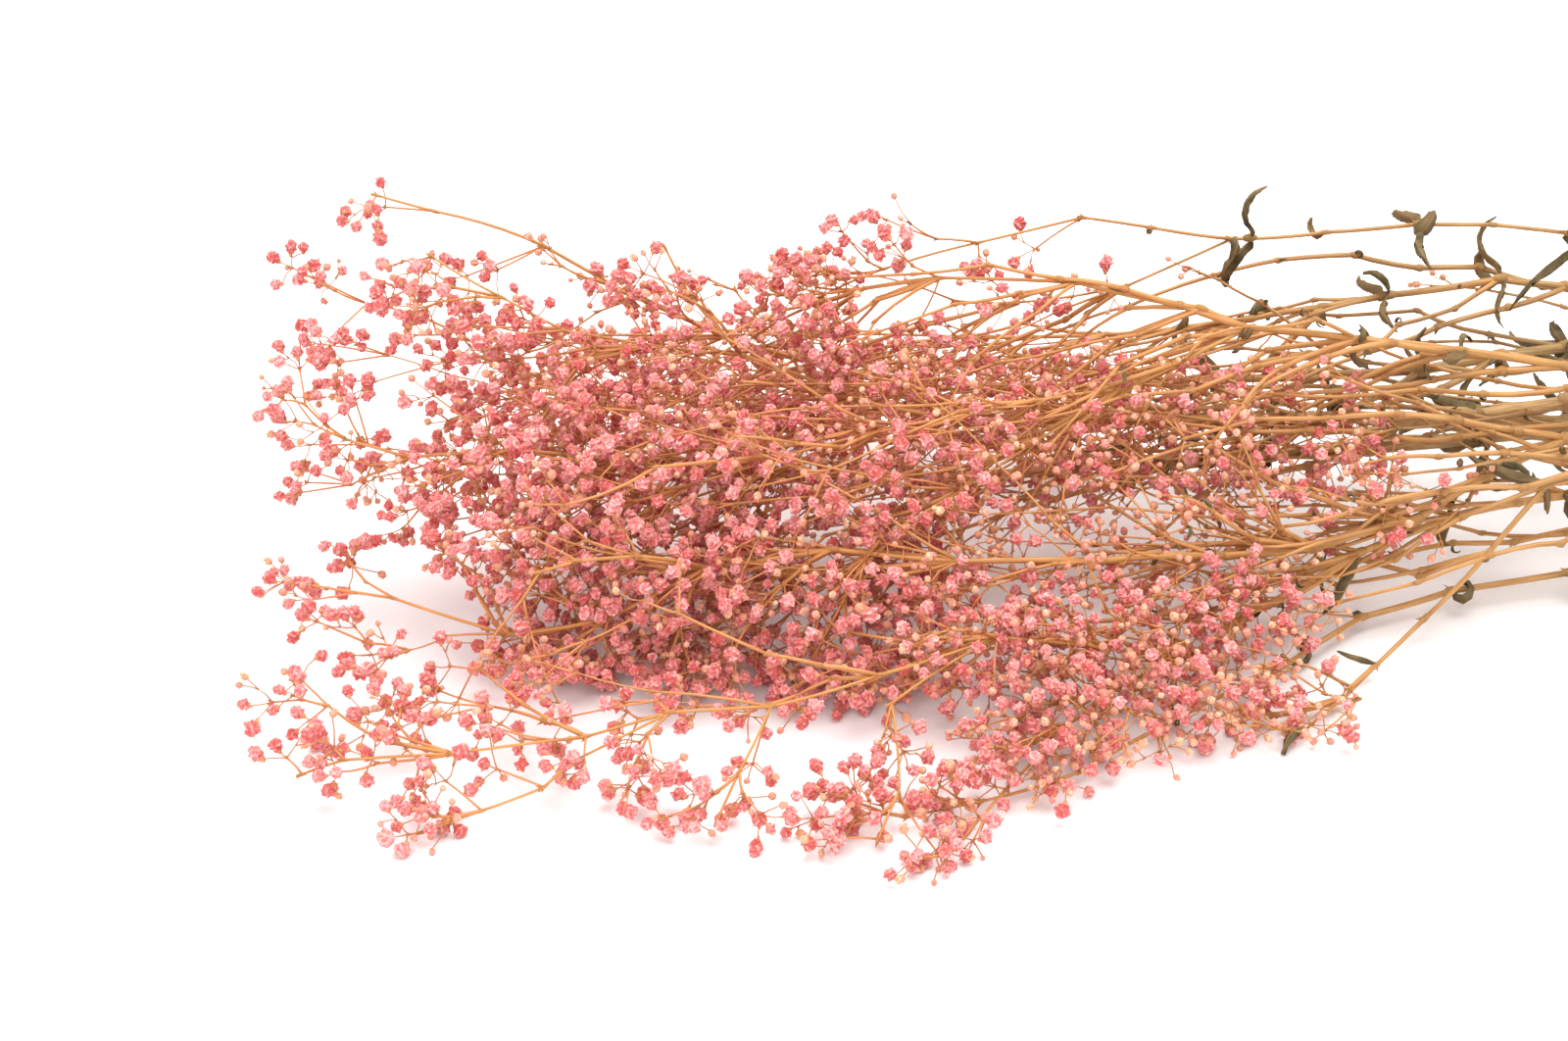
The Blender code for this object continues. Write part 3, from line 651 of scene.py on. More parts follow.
def arms():
    """The short arms that the branches sit on, as (start, end, radius)."""
    found = []
    for name, (_, base, points) in LIMBS.items():
        if base not in LIMBS:
            start = Vector(points[0])
            way = (grow()[0][name][1] - start).normalized()
            found.append((start, start + way * (STUB_LENGTH - GAP), base))
    return found


def near_on(a, b, p):
    """The point of the stretch from a to b that is nearest to p."""
    point, t = intersect_point_line(p, a, b)
    return a.copy() if t < 0 else b.copy() if t > 1 else point


def stretch_gap(a, b, c, d):
    """The distance between two straight stretches."""
    p = (a + b) / 2
    for _ in range(12):
        q = near_on(c, d, p)
        p = near_on(a, b, q)
    return (p - q).length


class Space:
    """The room that is taken, as thick straight stretches, each with the node that it belongs to."""

    def __init__(self):
        self.taken = []

    def add(self, a, b, radius, owner):
        self.taken.append((a, b, radius, owner, (a + b) / 2, (a - b).length / 2 + radius))

    def is_free(self, a, b, radius, owner):
        middle, reach = (a + b) / 2, (a - b).length / 2 + radius
        for c, d, other_radius, other, other_middle, other_reach in self.taken:
            if other == owner or (middle - other_middle).length > reach + other_reach + GAP:
                continue
            if stretch_gap(a, b, c, d) < radius + other_radius + GAP:
                return False
        return True


def leaf_line(root, ahead, out, length, curl, twist):
    """A curled leaf's middle line, as (point, direction across the blade) pairs."""
    way = (ahead * 0.8 + out).normalized()
    across = way.cross(out).normalized()
    line, spot, steps = [], root.copy(), 5
    for i in range(steps + 1):
        line.append((spot.copy(), across.copy()))
        spot += way * length / steps
        way = Matrix.Rotation(curl / steps * (0.5 + i / steps), 3, across) @ way
        across = Matrix.Rotation(twist / steps, 3, way) @ across
    return line


@functools.cache
def leaf_pairs():
    """The pairs of leaves in the room that the stem leaves them: name, place on the limb, the limb's
    direction there, collar radius, and a middle line and a width for each leaf."""
    space = Space()
    points, radii = main_stem_line()
    for a, b, radius in zip(points, points[1:], radii):
        space.add(a, b, radius + NODE_SWELLING, "main_stem")
    for start, end, base in arms():
        space.add(start, end, base * 1.1, "main_stem")
    for name in LIMBS:
        nodes = trimmed_limb(name)
        for a, b, radius in zip(nodes, nodes[1:], limb_radii(name)):
            space.add(a, b, radius, LIMBS[name][0])
    pairs = []
    for number, (limb, x) in enumerate(LEAVES, 1):
        name = f"leaf_pair_{number:02d}"
        nodes, radii = trimmed_limb(limb), limb_radii(limb)
        i = next(i for i in range(1, len(nodes)) if nodes[i].x < x)
        t = (nodes[i - 1].x - x) / (nodes[i - 1].x - nodes[i].x)
        spot, ahead = nodes[i - 1].lerp(nodes[i], t), (nodes[i] - nodes[i - 1]).normalized()
        collar = (radii[i - 1] + GAP) / math.cos(math.pi / 6) + COLLAR_THICKNESS
        reach = collar + COLLAR_THICKNESS
        draw = random.Random(name)
        side = ahead.orthogonal().normalized()
        while True:
            out = Matrix.Rotation(draw.uniform(0, math.tau), 3, ahead) @ side
            pair = [(leaf_line(spot + way * collar, ahead, way, draw.uniform(*LEAF_LENGTHS),
                               draw.uniform(*LEAF_CURLS), draw.uniform(*LEAF_TWISTS)),
                     draw.uniform(*LEAF_WIDTHS))
                    for way in (out, -out)]
            runs = [(a, b, width / 2) for line, width in pair for (a, _), (b, _) in zip(line, line[1:])]
            if all(min(a.z, b.z) > half + LEAF_THICKNESS and space.is_free(a, b, half, name)
                   for a, b, half in runs[1:5] + runs[6:]):
                break
        for a, b, half in runs:
            space.add(a, b, half, name)
        space.add(spot - ahead, spot + ahead, reach, name)
        pairs.append((name, spot, ahead, collar, pair))
    return pairs


@functools.cache
def shift():
    """What moves the tables' millimetres, once in metres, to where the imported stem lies."""
    points = np.array([vert.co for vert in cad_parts["main_stem"].data.vertices])
    cut = np.unique(np.round(points[points[:, 0] > points[:, 0].max() - 0.2 * MM], 5), axis=0)
    return cut.mean(axis=0) - np.array(MAIN_STEM[0]) * MM


def placed(points):
    """Points of the tables, as an array in metres in the frame."""
    return np.array(points, float) * MM + shift()


class Tips:
    """The forked tips of the twigs: stalks as (start, end), heads as (place, way, kind, radius), and bracts
    as (place, way)."""

    def __init__(self, floret_radius, bud_radius):
        self.stalks, self.heads, self.bracts = [], [], []
        self.floret_radius, self.bud_radius = floret_radius, bud_radius

    def bear(self, start, goal, kind, draw):
        """A stalk from start that bears a floret or a bud at goal."""
        size = self.floret_radius * draw.triangular(*FLORET_SIZES)
        if kind != "floret":
            size = self.bud_radius * draw.triangular(*BUD_SIZES)
        goal = goal.copy()
        goal.z = max(goal.z, size * 0.8)
        way = ((goal - start).normalized() + scatter(draw, HEAD_LEAN)).normalized()
        self.heads.append((goal, way, kind, size))
        self.stalks.append((start, goal - way * size * 0.75))

    def sprig(self, twig, draw):
        """The tip of a twig that hardly bears: one or two small buds."""
        start, end = twig["start"], twig["end"]
        fork = start.lerp(end, 0.55)
        twig["fork"] = fork
        self.bear(fork, end, "bud", draw)
        if draw.random() < 0.6:
            goal = fork + ((end - start).normalized() + scatter(draw, 0.5)) * 3.2
            self.bear(fork, goal, "opening" if draw.random() < 0.25 else "bud", draw)
        self.bracts.append((fork, end - start))

    def cyme(self, twig, draw):
        """The tip of a twig: a floret on its end, and shorter stalks round it with florets and buds."""
        start, end = twig["start"], twig["end"]
        way = (end - start).normalized()
        fewer = ramp(end.x, FEWER_FROM, FEWER_OVER)
        fork = end - way * min(draw.uniform(*NECK_LENGTHS), 0.6 * (end - start).length)
        twig["fork"] = fork
        self.bear(fork, end, "floret" if draw.random() < TIP_SHARE - TIP_LOSS * fewer else "bud", draw)
        side = way.orthogonal().normalized()
        count = draw.choices((2, 3, 4), (0.3, 0.45, 0.25))[0]
        turn = draw.uniform(0, math.tau)
        share = SIDE_SHARE - SIDE_LOSS * fewer
        taken = [end]
        for k in range(count):
            for _ in range(8):
                angle = turn + (k + draw.uniform(-0.25, 0.25)) * math.tau / count
                out = Matrix.Rotation(angle, 3, way) @ side
                heading = (way * draw.uniform(0.0, 1.3) + out).normalized()
                goal = fork + heading * draw.uniform(*STALK_LENGTHS)
                if min((goal - other).length for other in taken) > HEAD_SPACING * self.floret_radius:
                    break
            taken.append(goal)
            shares = (share, 1 - OPENING_SHARE - share, OPENING_SHARE)
            kind = draw.choices(("floret", "bud", "opening"), shares)[0]
            if draw.random() < FORKED_SHARE:
                self.fork_again(fork, goal, heading, kind, draw)
            else:
                self.bear(fork, goal, kind, draw)
        self.bracts.append((fork, way))

    def fork_again(self, fork, goal, heading, kind, draw):
        """A stalk that bears a second, smaller one at its middle."""
        middle = fork.lerp(goal, 0.5)
        self.stalks.append((fork, middle))
        self.bracts.append((middle, heading))
        self.bear(middle, goal, kind, draw)
        swing = Matrix.Rotation(draw.uniform(0.6, 1.2), 3, heading.orthogonal().normalized())
        spin = Matrix.Rotation(draw.uniform(0, math.tau), 3, heading)
        extra = middle + (spin @ swing @ heading) * draw.uniform(*SIDE_STALK_LENGTHS)
        self.bear(middle, extra, "bud" if draw.random() < 0.65 else "floret", draw)


def deselect():
    for thing in bpy.context.selected_objects:
        thing.select_set(False)


def select_only(piece):
    deselect()
    piece.select_set(True)
    bpy.context.view_layer.objects.active = piece


def start_with(primitive, **settings):
    """Adds one primitive, alone in the selection."""
    deselect()
    primitive(**settings)
    return bpy.context.object


def edit(piece, chosen, operator, faces=False, **settings):
    """Runs an edit mode operator on the vertices, or faces, that a test on their place chooses."""
    select_only(piece)
    bpy.ops.object.mode_set(mode="EDIT")
    bpy.ops.mesh.select_mode(type="FACE" if faces else "VERT")
    bpy.ops.mesh.select_all(action="DESELECT")
    bpy.ops.object.mode_set(mode="OBJECT")
    for item in piece.data.polygons if faces else piece.data.vertices:
        item.select = bool(chosen(item.center if faces else item.co))
    bpy.ops.object.mode_set(mode="EDIT")
    operator(**settings)
    bpy.ops.object.mode_set(mode="OBJECT")


def thicken(sheet, thickness):
    """Makes a sheet solid, with half of its thickness on each side."""
    solid = sheet.modifiers.new("thickness", "SOLIDIFY")
    solid.thickness = thickness
    solid.offset = 0
    select_only(sheet)
    bpy.ops.object.modifier_apply(modifier=solid.name)


def everywhere(_):
    return True


def mark(piece, name, value):
    """Gives each vertex a value that is worked out from its place."""
    values = piece.data.attributes.new(name, "FLOAT", "POINT")
    for vert, item in zip(piece.data.vertices, values.data):
        item.value = value(vert.co)


def join(pieces):
    deselect()
    for piece in pieces:
        piece.select_set(True)
    bpy.context.view_layer.objects.active = pieces[0]
    bpy.ops.object.join()
    return pieces[0]


class Shape:
    """A small mesh that was modelled once, as the arrays that its copies are made from."""

    def __init__(self, piece, smooth):
        mesh = piece.data
        mesh.transform(piece.matrix_basis)
        self.points = np.array([vert.co for vert in mesh.vertices])
        self.corners = np.array([corner.vertex_index for corner in mesh.loops])
        self.sides = np.array([face.loop_total for face in mesh.polygons])
        edge = mesh.attributes.get("edge")
        self.edge = np.array([item.value for item in edge.data]) if edge else np.zeros(len(self.points))
        self.smooth = smooth
        bpy.data.objects.remove(piece)
        bpy.data.meshes.remove(mesh)


def axes(ways, turns):
    """For each direction, the three axes of a shape that stands up along it and is turned about it."""
    ways = ways / np.linalg.norm(ways, axis=1, keepdims=True)
    steep = np.abs(ways[:, 2:]) > 0.9
    across = np.cross(ways, np.where(steep, (1.0, 0.0, 0.0), (0.0, 0.0, 1.0)))
    across /= np.linalg.norm(across, axis=1, keepdims=True)
    over = np.cross(ways, across)
    cosine, sine = np.cos(turns)[:, None], np.sin(turns)[:, None]
    return across * cosine + over * sine, over * cosine - across * sine, ways


def stood(shape, places, ways, sizes, turns):
    """Copies of a shape, each standing at its place along its way. sizes holds x, y and z for each."""
    across, over, up = axes(ways, turns)
    scaled = shape.points[None] * sizes[:, None, :]
    return (places[:, None] + scaled[..., :1] * across[:, None] + scaled[..., 1:2] * over[:, None]
            + scaled[..., 2:] * up[:, None])


def stretched(shape, starts, ends, radii, end_radii, bows, turns):
    """Copies of a bar of length 1 and radius 1, each stretched and bowed from its start to its end."""
    across, over, _ = axes(ends - starts, turns)
    along = shape.points[None, :, 2:]
    radius = radii[:, None, None] * (1 - along) + end_radii[:, None, None] * along
    out = shape.points[None, :, :1] * across[:, None] + shape.points[None, :, 1:2] * over[:, None]
    return (starts[:, None] * (1 - along) + ends[:, None] * along + bows[:, None] * 4 * along * (1 - along)
            + radius * out)


class Heap:
    """Copies of small shapes, gathered into one mesh. Each vertex carries the values that looks read."""

    VALUES = ("tone", "edge", "dye", "age")

    def __init__(self):
        self.points, self.corners, self.sides, self.smooth, self.grain = [], [], [], [], []
        self.values = {name: [] for name in self.VALUES}
        self.count = 0

    def add(self, shape, points, tone, dye=0.0, lengths=1.0, age=0.0):
        """Adds copies whose points are given as (copy, vertex, xyz)."""
        copies, size, _ = points.shape
        first = self.count + size * np.arange(copies)
        self.corners.append((shape.corners[None] + first[:, None]).ravel())
        self.sides.append(np.tile(shape.sides, copies))
        self.smooth.append(np.full(copies * len(shape.sides), shape.smooth))
        self.points.append(points.reshape(-1, 3))
        grain = np.tile(shape.points, (copies, 1, 1))
        grain[..., 2] *= np.broadcast_to(lengths, copies)[:, None] / MM
        grain += np.asarray(tone).reshape(-1, 1, 1) * 50
        self.grain.append(grain.reshape(-1, 3))
        for name, value in {"tone": tone, "dye": dye, "age": age}.items():
            value = np.asarray(value, float).reshape(-1, 1)
            self.values[name].append(np.broadcast_to(value, (copies, size)).ravel())
        self.values["edge"].append(np.tile(shape.edge, copies))
        self.count += copies * size

    def make(self, name, look):
        """The heap as one object, which rests on the floor."""
        points = np.concatenate(self.points)
        points[:, 2] = np.maximum(points[:, 2], 0.1 * MM)
        corners, sides = np.concatenate(self.corners), np.concatenate(self.sides)
        mesh = bpy.data.meshes.new(name)
        mesh.vertices.add(len(points))
        mesh.vertices.foreach_set("co", points.ravel())
        mesh.loops.add(len(corners))
        mesh.loops.foreach_set("vertex_index", corners)
        mesh.polygons.add(len(sides))
        mesh.polygons.foreach_set("loop_start", np.concatenate(([0], np.cumsum(sides)[:-1])))
        mesh.polygons.foreach_set("use_smooth", np.concatenate(self.smooth))
        for value, parts in self.values.items():
            mesh.attributes.new(value, "FLOAT", "POINT").data.foreach_set("value", np.concatenate(parts))
        grain = mesh.attributes.new("grain", "FLOAT_VECTOR", "POINT")
        grain.data.foreach_set("vector", np.concatenate(self.grain).ravel())
        mesh.update(calc_edges=True)
        mesh.validate()
        mesh.materials.append(look)
        piece = bpy.data.objects.new(name, mesh)
        bpy.context.scene.collection.objects.link(piece)
        return piece


@functools.cache
def floret_shapes():
    """Double florets: round balls of crumpled petals on a small calyx. No two are crumpled alike."""
    shapes = []
    for seed in range(1, 7):
        ball = start_with(bpy.ops.mesh.primitive_uv_sphere_add, segments=8, ring_count=6, radius=BALL_RADIUS)

        def is_fold(co):
            around = round(math.atan2(co.y, co.x) / math.tau * 8)
            down = round(math.acos(max(-1, min(1, co.z / BALL_RADIUS))) / math.pi * 6)
            return (around + down) % 2 and 0 < down < 6

        edit(ball, is_fold, bpy.ops.transform.resize, value=(FOLD_DEPTH,) * 3, center_override=(0, 0, 0))
        edit(ball, everywhere, bpy.ops.transform.vertex_random, offset=0.21, seed=seed * 7)
        edit(ball, lambda co: co.z < -0.3, bpy.ops.transform.resize, value=(0.86, 0.86, 0.9),
             center_override=(0, 0, -0.3))
        # edge is low at the pulled-in folds and high at the outer petals; petal_look paints the folds darker,
        # as painted shade
        mark(ball, "edge", lambda co: ramp(co.length, 0.6, 0.4))
        calyx = start_with(bpy.ops.mesh.primitive_cone_add, vertices=4, radius1=0.12, radius2=0.42, depth=0.5,
                           location=(0, 0, -0.85))
        calyx.data.transform(calyx.matrix_basis)
        calyx.matrix_basis = Matrix()
        mark(calyx, "edge", lambda co: -1.0)
        shapes.append(Shape(join([calyx, ball]), False))
    return shapes


@functools.cache
def bud_shape():
    """A closed bud: round, with a short point, and a calyx over its lower half."""
    bud = start_with(bpy.ops.mesh.primitive_uv_sphere_add, segments=6, ring_count=4, radius=1)
    edit(bud, lambda co: co.z > 0.95, bpy.ops.transform.translate, value=(0, 0, 0.15))
    edit(bud, lambda co: -0.9 < co.z < -0.6, bpy.ops.transform.resize, value=(0.9, 0.9, 1.0))
    edit(bud, lambda co: abs(co.z) < 0.95, bpy.ops.transform.vertex_random, offset=0.15, seed=4)
    mark(bud, "edge", lambda co: co.z)
    return Shape(bud, False)


def petal_tuft():
    """Petals in a tuft: a thin-lipped cup, whose ragged rim goes in and out, and up and down."""
    count, radius, half = 8, 0.85, 0.2
    floor, rim, notch = 0.5, 1.25, 0.66
    tuft = start_with(bpy.ops.mesh.primitive_cone_add, vertices=count, radius1=radius, radius2=0,
                      depth=2 * half, end_fill_type="TRIFAN")

    def is_rim(co):
        return co.xy.length > 0.4 * radius

    def is_notch(co):
        return is_rim(co) and round(math.atan2(co.y, co.x) / math.tau * count) % 2

    edit(tuft, lambda co: not is_rim(co) and co.z > 0, bpy.ops.transform.translate,
         value=(0, 0, floor - half))
    edit(tuft, lambda co: not is_rim(co) and co.z < 0, bpy.ops.transform.translate, value=(0, 0, half))
    edit(tuft, is_rim, bpy.ops.transform.translate, value=(0, 0, rim + half))
    edit(tuft, is_notch, bpy.ops.transform.resize, value=(notch, notch, 1))
    edit(tuft, lambda co: is_rim(co) and co.xy.length < (1 + notch) / 2 * radius,
         bpy.ops.transform.translate, value=(0, 0, -0.2))
    edit(tuft, is_rim, bpy.ops.transform.vertex_random, offset=0.2, seed=11)
    mark(tuft, "edge", lambda co: 1.0)
    return tuft


@functools.cache
def opening_shape():
    """A bud that is opening: its petals stand out of the calyx in one ragged tuft."""
    bud = start_with(bpy.ops.mesh.primitive_uv_sphere_add, segments=6, ring_count=5, radius=1)
    edit(bud, lambda co: co.z > 0.4, bpy.ops.transform.resize, value=(0.8, 0.8, 0.7))
    mark(bud, "edge", lambda co: -0.4)
    return Shape(join([bud, petal_tuft()]), False)


@functools.cache
def bar_shape(sides, rings):
    """A round bar of length 1 and radius 1, standing on the origin, in several rings."""
    bar = start_with(bpy.ops.mesh.primitive_cylinder_add, vertices=sides, radius=1, depth=1)
    bar.data.transform(Matrix.Translation((0, 0, 0.5)))
    for i in range(1, rings):
        edit(bar, everywhere, bpy.ops.mesh.bisect, plane_co=(0, 0, i / rings), plane_no=(0, 0, 1))
    return Shape(bar, True)


@functools.cache
def cut_shape():
    """The cut end of the stem: a low drum with a rounded rim, and a hollow where its pith has shrunk."""
    drum = start_with(bpy.ops.mesh.primitive_cylinder_add, vertices=24, radius=1, depth=1)
    for thickness, depth in ((0.08, 0.08), (0.3, -0.03), (0.14, -0.04), (0.12, -0.5), (0.2, -0.05)):
        edit(drum, lambda centre: centre.xy.length < 0.01 and centre.z > -0.4, bpy.ops.mesh.inset,
             faces=True, thickness=thickness, depth=depth)
    edit(drum, lambda co: 0.3 < co.xy.length < 0.97 and co.z > 0, bpy.ops.transform.vertex_random,
         offset=0.02, seed=2)
    mark(drum, "edge", lambda co: 1.0 - co.xy.length if co.z > 0.5 or co.xy.length < 0.9 else 0.0)
    return Shape(drum, False)


@functools.cache
def joint_shape(sides, rings):
    """A swollen joint: a round spindle, longest along Z."""
    joint = start_with(bpy.ops.mesh.primitive_uv_sphere_add, segments=sides, ring_count=rings, radius=1)
    return Shape(joint, True)


@functools.cache
def bract_shape():
    """A tiny dry bract: a flat, pointed scale that leans out."""
    bract = start_with(bpy.ops.mesh.primitive_cone_add, vertices=3, radius1=0.3, radius2=0, depth=1)
    bract.data.transform(Matrix.Translation((0, 0, 0.5)))
    edit(bract, everywhere, bpy.ops.transform.resize, value=(1, 0.4, 1))
    edit(bract, lambda co: co.z > 0.9, bpy.ops.transform.translate, value=(0, 0.3, 0))
    return Shape(bract, False)


@functools.cache
def scrap_shapes():
    """Withered leaves of length 1: narrow strips, rolled along their length and curled, up to a ring."""
    shapes = []
    for number, curl in enumerate((0.9, 2.2, 3.4, 5.2)):
        strip = start_with(bpy.ops.mesh.primitive_grid_add, x_subdivisions=2, y_subdivisions=6, size=2)
        mark(strip, "edge", lambda co: abs(co.x))
        for vert in strip.data.vertices:
            across, along = vert.co.x, (vert.co.y + 1) / 2
            half = 0.075 * max(0.25, math.sin(math.pi * (0.12 + 0.84 * along)))
            angle, roll = curl * along, 1.3 * half * abs(across)
            vert.co = (across * half, (1 - math.cos(angle)) / curl + roll * math.cos(angle),
                       math.sin(angle) / curl - roll * math.sin(angle))
        edit(strip, everywhere, bpy.ops.transform.vertex_random, offset=0.022, seed=number + 1)
        thicken(strip, 0.025)
        shapes.append(Shape(strip, True))
    return shapes


@functools.cache
def leaf_shape():
    """A narrow, pointed leaf of length 1 and width 2, folded along its midrib, with ragged edges."""
    leaf = start_with(bpy.ops.mesh.primitive_grid_add, x_subdivisions=6, y_subdivisions=22, size=2)
    leaf.data.transform(Matrix.Rotation(math.pi / 2, 4, "X"))
    leaf.data.transform(Matrix.Translation((0, 0, 0.5)) @ Matrix.Diagonal((1, 1, 0.5, 1)))
    for vert in leaf.data.vertices:
        along = vert.co.z
        half = max(0.2, math.sin(math.pi * (0.12 + 0.86 * along)) ** 0.8)
        vert.co.x *= half
        wave = 0.16 * math.sin(17 * along) + 0.1 * math.sin(41 * along)
        vert.co.y += 0.9 * abs(vert.co.x) ** 1.3 + wave * vert.co.x
    edit(leaf, lambda co: co.z > 0.12, bpy.ops.transform.vertex_random, offset=0.05, seed=3)
    mark(leaf, "edge", lambda co: abs(co.x))
    thicken(leaf, 0.1)
    return Shape(leaf, True)


class Socket:
    """A node's output, on which ordinary arithmetic adds Math nodes."""

    def __init__(self, look, socket):
        self.look, self.socket = look, socket

    def math(self, operation, *others):
        return self.look.node("ShaderNodeMath", {"operation": operation}, [self, *others])

    def __add__(self, other):
        return self.math("ADD", other)

    def __sub__(self, other):
        return self.math("SUBTRACT", other)

    def __rsub__(self, other):
        return self.look.node("ShaderNodeMath", {"operation": "SUBTRACT"}, [other, self])

    def __mul__(self, other):
        return self.math("MULTIPLY", other)

    __radd__ = __add__
    __rmul__ = __mul__

    def between(self, low, high):
        """0 at low and 1 at high, and held at 0 and 1 past them."""
        return self.look.node("ShaderNodeMapRange", {"clamp": True}, {"Value": self, "From Min": low,
                                                                      "From Max": high})


class Look:
    """A material with one Principled BSDF, and the nodes that drive it."""

    def __init__(self, name, roughness, specular=0.25):
        self.material = bpy.data.materials.new(name)
        self.material.use_nodes = True
        self.tree = self.material.node_tree
        self.shader = self.tree.nodes["Principled BSDF"]
        self.shader.inputs["Roughness"].default_value = roughness
        self.shader.inputs["Specular IOR Level"].default_value = specular

    def let_light_through(self, weight, reach, scale):
        """Makes the material glow where it is lit from behind: how much, and how many millimetres deep."""
        self.shader.subsurface_method = "BURLEY"
        self.shader.inputs["Subsurface Weight"].default_value = weight
        self.shader.inputs["Subsurface Radius"].default_value = reach
        self.shader.inputs["Subsurface Scale"].default_value = scale * MM

    def node(self, kind, settings=None, inputs=(), output=0):
        """Adds a node: its settings first, then values or links for its inputs."""
        node = self.tree.nodes.new(kind)
        for name, value in (settings or {}).items():
            setattr(node, name, value)
        for key, value in inputs.items() if isinstance(inputs, dict) else enumerate(inputs):
            self.link(value, node.inputs[key])
        return Socket(self, node.outputs[output])

    def link(self, value, socket):
        if isinstance(value, Socket):
            self.tree.links.new(value.socket, socket)
        elif socket.type == "RGBA":
            socket.default_value = (*value, 1)
        else:
            socket.default_value = value

    def value(self, name):
        return self.node("ShaderNodeAttribute", {"attribute_name": name}, output="Fac")

    def vector(self, name):
        return self.node("ShaderNodeAttribute", {"attribute_name": name}, output="Vector")

    def place(self):
        return self.node("ShaderNodeTexCoord", output="Object")

    def stretch(self, vector, scale):
        return self.node("ShaderNodeMapping", {}, {"Vector": vector, "Scale": scale})

    def noise(self, vector, scale, detail=2.0):
        return self.node("ShaderNodeTexNoise", {}, {"Vector": vector, "Scale": scale, "Detail": detail})

    def mix(self, factor, first, second):
        """Two colours mixed by a factor."""
        return self.node("ShaderNodeMix", {"data_type": "RGBA"}, {"Factor": factor, 6: first, 7: second}, 2)

    def x_of(self, vector):
        return self.node("ShaderNodeSeparateXYZ", {}, [vector])

    def finish(self, colour, height=None, distance=0.0):
        """Sets what varies over the surface: its colour, and its relief in millimetres."""
        self.link(colour, self.shader.inputs["Base Color"])
        if height is not None:
            bump = self.node("ShaderNodeBump", {}, {"Height": height, "Distance": distance * MM,
                                                    "Strength": 1.0})
            self.link(bump, self.shader.inputs["Normal"])
        return self.material


def petal_look(colours):
    look = Look("dyed_petals", 0.85, 0.15)
    look.let_light_through(0.3, (1.0, 0.4, 0.25), 1.0)
    edge, tone = look.value("edge"), look.value("tone")
    petals = look.node("ShaderNodeTexVoronoi", {}, {"Vector": look.place(), "Scale": 1200.0})
    crinkle = petals.between(0.15, 0.75) * 0.6 + look.noise(look.place(), 1900.0).between(0.3, 0.7) * 0.4
    body = look.mix(tone.between(0.15, 1.0), colours.petal, colours.petal_deep_and_shade)
    relief = edge * 0.45 + crinkle * 0.55
    # Painted shade: where the relief is low, in the hollows between the petals and the dips of the crinkles,
    # the deep petal colour is laid
    petal = look.mix(relief.between(0.15, 0.5), colours.petal_deep_and_shade, body)
    # Where the relief is high, at the outer petal tips and the crinkles' ridges, the petals turn paler
    petal = look.mix(relief.between(0.5, 0.85) * (1.0 - tone * 0.4), petal, colours.petal_edge)
    colour = look.mix(edge.between(-0.4, -0.2), colours.calyx, petal)
    return look.finish(colour, crinkle, 0.35)


def bud_look(colours):
    look = Look("closed_buds", 0.85, 0.15)
    look.let_light_through(0.25, (1.0, 0.6, 0.45), 0.8)
    edge, tone = look.value("edge"), look.value("tone")
    mottle = look.noise(look.place(), 1700.0, 3.0)
    body = look.mix(tone.between(0.2, 0.9), colours.bud_pale, colours.bud)
    body = look.mix(mottle.between(0.4, 0.6) * 0.6, body, colours.petal_deep_and_shade)
    colour = look.mix(edge.between(-0.9, 0.5), colours.calyx, body)
    return look.finish(colour, mottle, 0.1)


def stalk_look(colours):
    """The limbs and twigs: golden straw with fine streaks along it, browner low down, stained by the dye."""
    look = Look("stained_straw", 0.55, 0.4)
    grain = look.vector("grain")
    dye = look.value("dye")
    streaks = look.noise(look.stretch(grain, (2.2, 2.2, 0.12)), 1.0, 4.0)
    patches = look.noise(look.place(), 60.0)
    straw = look.mix(streaks.between(0.3, 0.68), colours.limb_dark, colours.limb)
    low = look.x_of(look.place()).between((FLOWERING_FROM - 140) * MM + shift()[0],
                                          (FLOWERING_FROM + 10) * MM + shift()[0])
    aged = (low * 0.8 + 0.2) * (look.value("age") * 0.85 + 0.15) * (patches.between(0.25, 0.6) * 0.4 + 0.6)
    old = look.mix(streaks.between(0.35, 0.6), colours.wood_dark, colours.wood)
    straw = look.mix(aged, straw, old)
    stained = dye * (patches.between(0.3, 0.65) * 0.4 + 0.6) * (1.0 - low * 0.8)
    colour = look.mix(stained, straw, colours.twig)
    return look.finish(colour, streaks, 0.15)


def wood_look(colours):
    look = Look("old_wood", 0.7, 0.3)
    grain = look.vector("grain")
    streaks = look.noise(look.stretch(grain, (3.0, 3.0, 0.08)), 1.0, 5.0)
    patches = look.noise(look.place(), 45.0)
    colour = look.mix(streaks.between(0.35, 0.65), colours.wood_dark, colours.wood)
    colour = look.mix(patches.between(0.5, 0.75) * 0.6, colour, colours.leaf)
    inside = look.value("edge")
    face = look.mix(inside.between(0.45, 0.7), colours.cut, colours.pith)
    face = look.mix(patches.between(0.4, 0.7) * 0.3, face, colours.wood)
    colour = look.mix(inside.between(0.04, 0.16), colour, face)
    return look.finish(colour, streaks, 0.3)


def leaf_look(colours):
    look = Look("dry_leaves", 0.75)
    edge, tone = look.value("edge"), look.value("tone")
    patches = look.noise(look.place(), 260.0, 4.0)
    colour = look.mix(patches.between(0.35, 0.65), colours.leaf_dark, colours.leaf)
    rib = look.mix(0.5, colours.leaf, colours.limb)
    colour = look.mix((1.0 - edge.between(0.03, 0.16)) * 0.7, colour, rib)
    colour = look.mix(tone * 0.5, colour, colours.leaf_dark)
    colour = look.mix(tone.between(0.45, 0.8) * 0.6, colour, colours.wood_dark)
    return look.finish(colour, patches, 0.2)


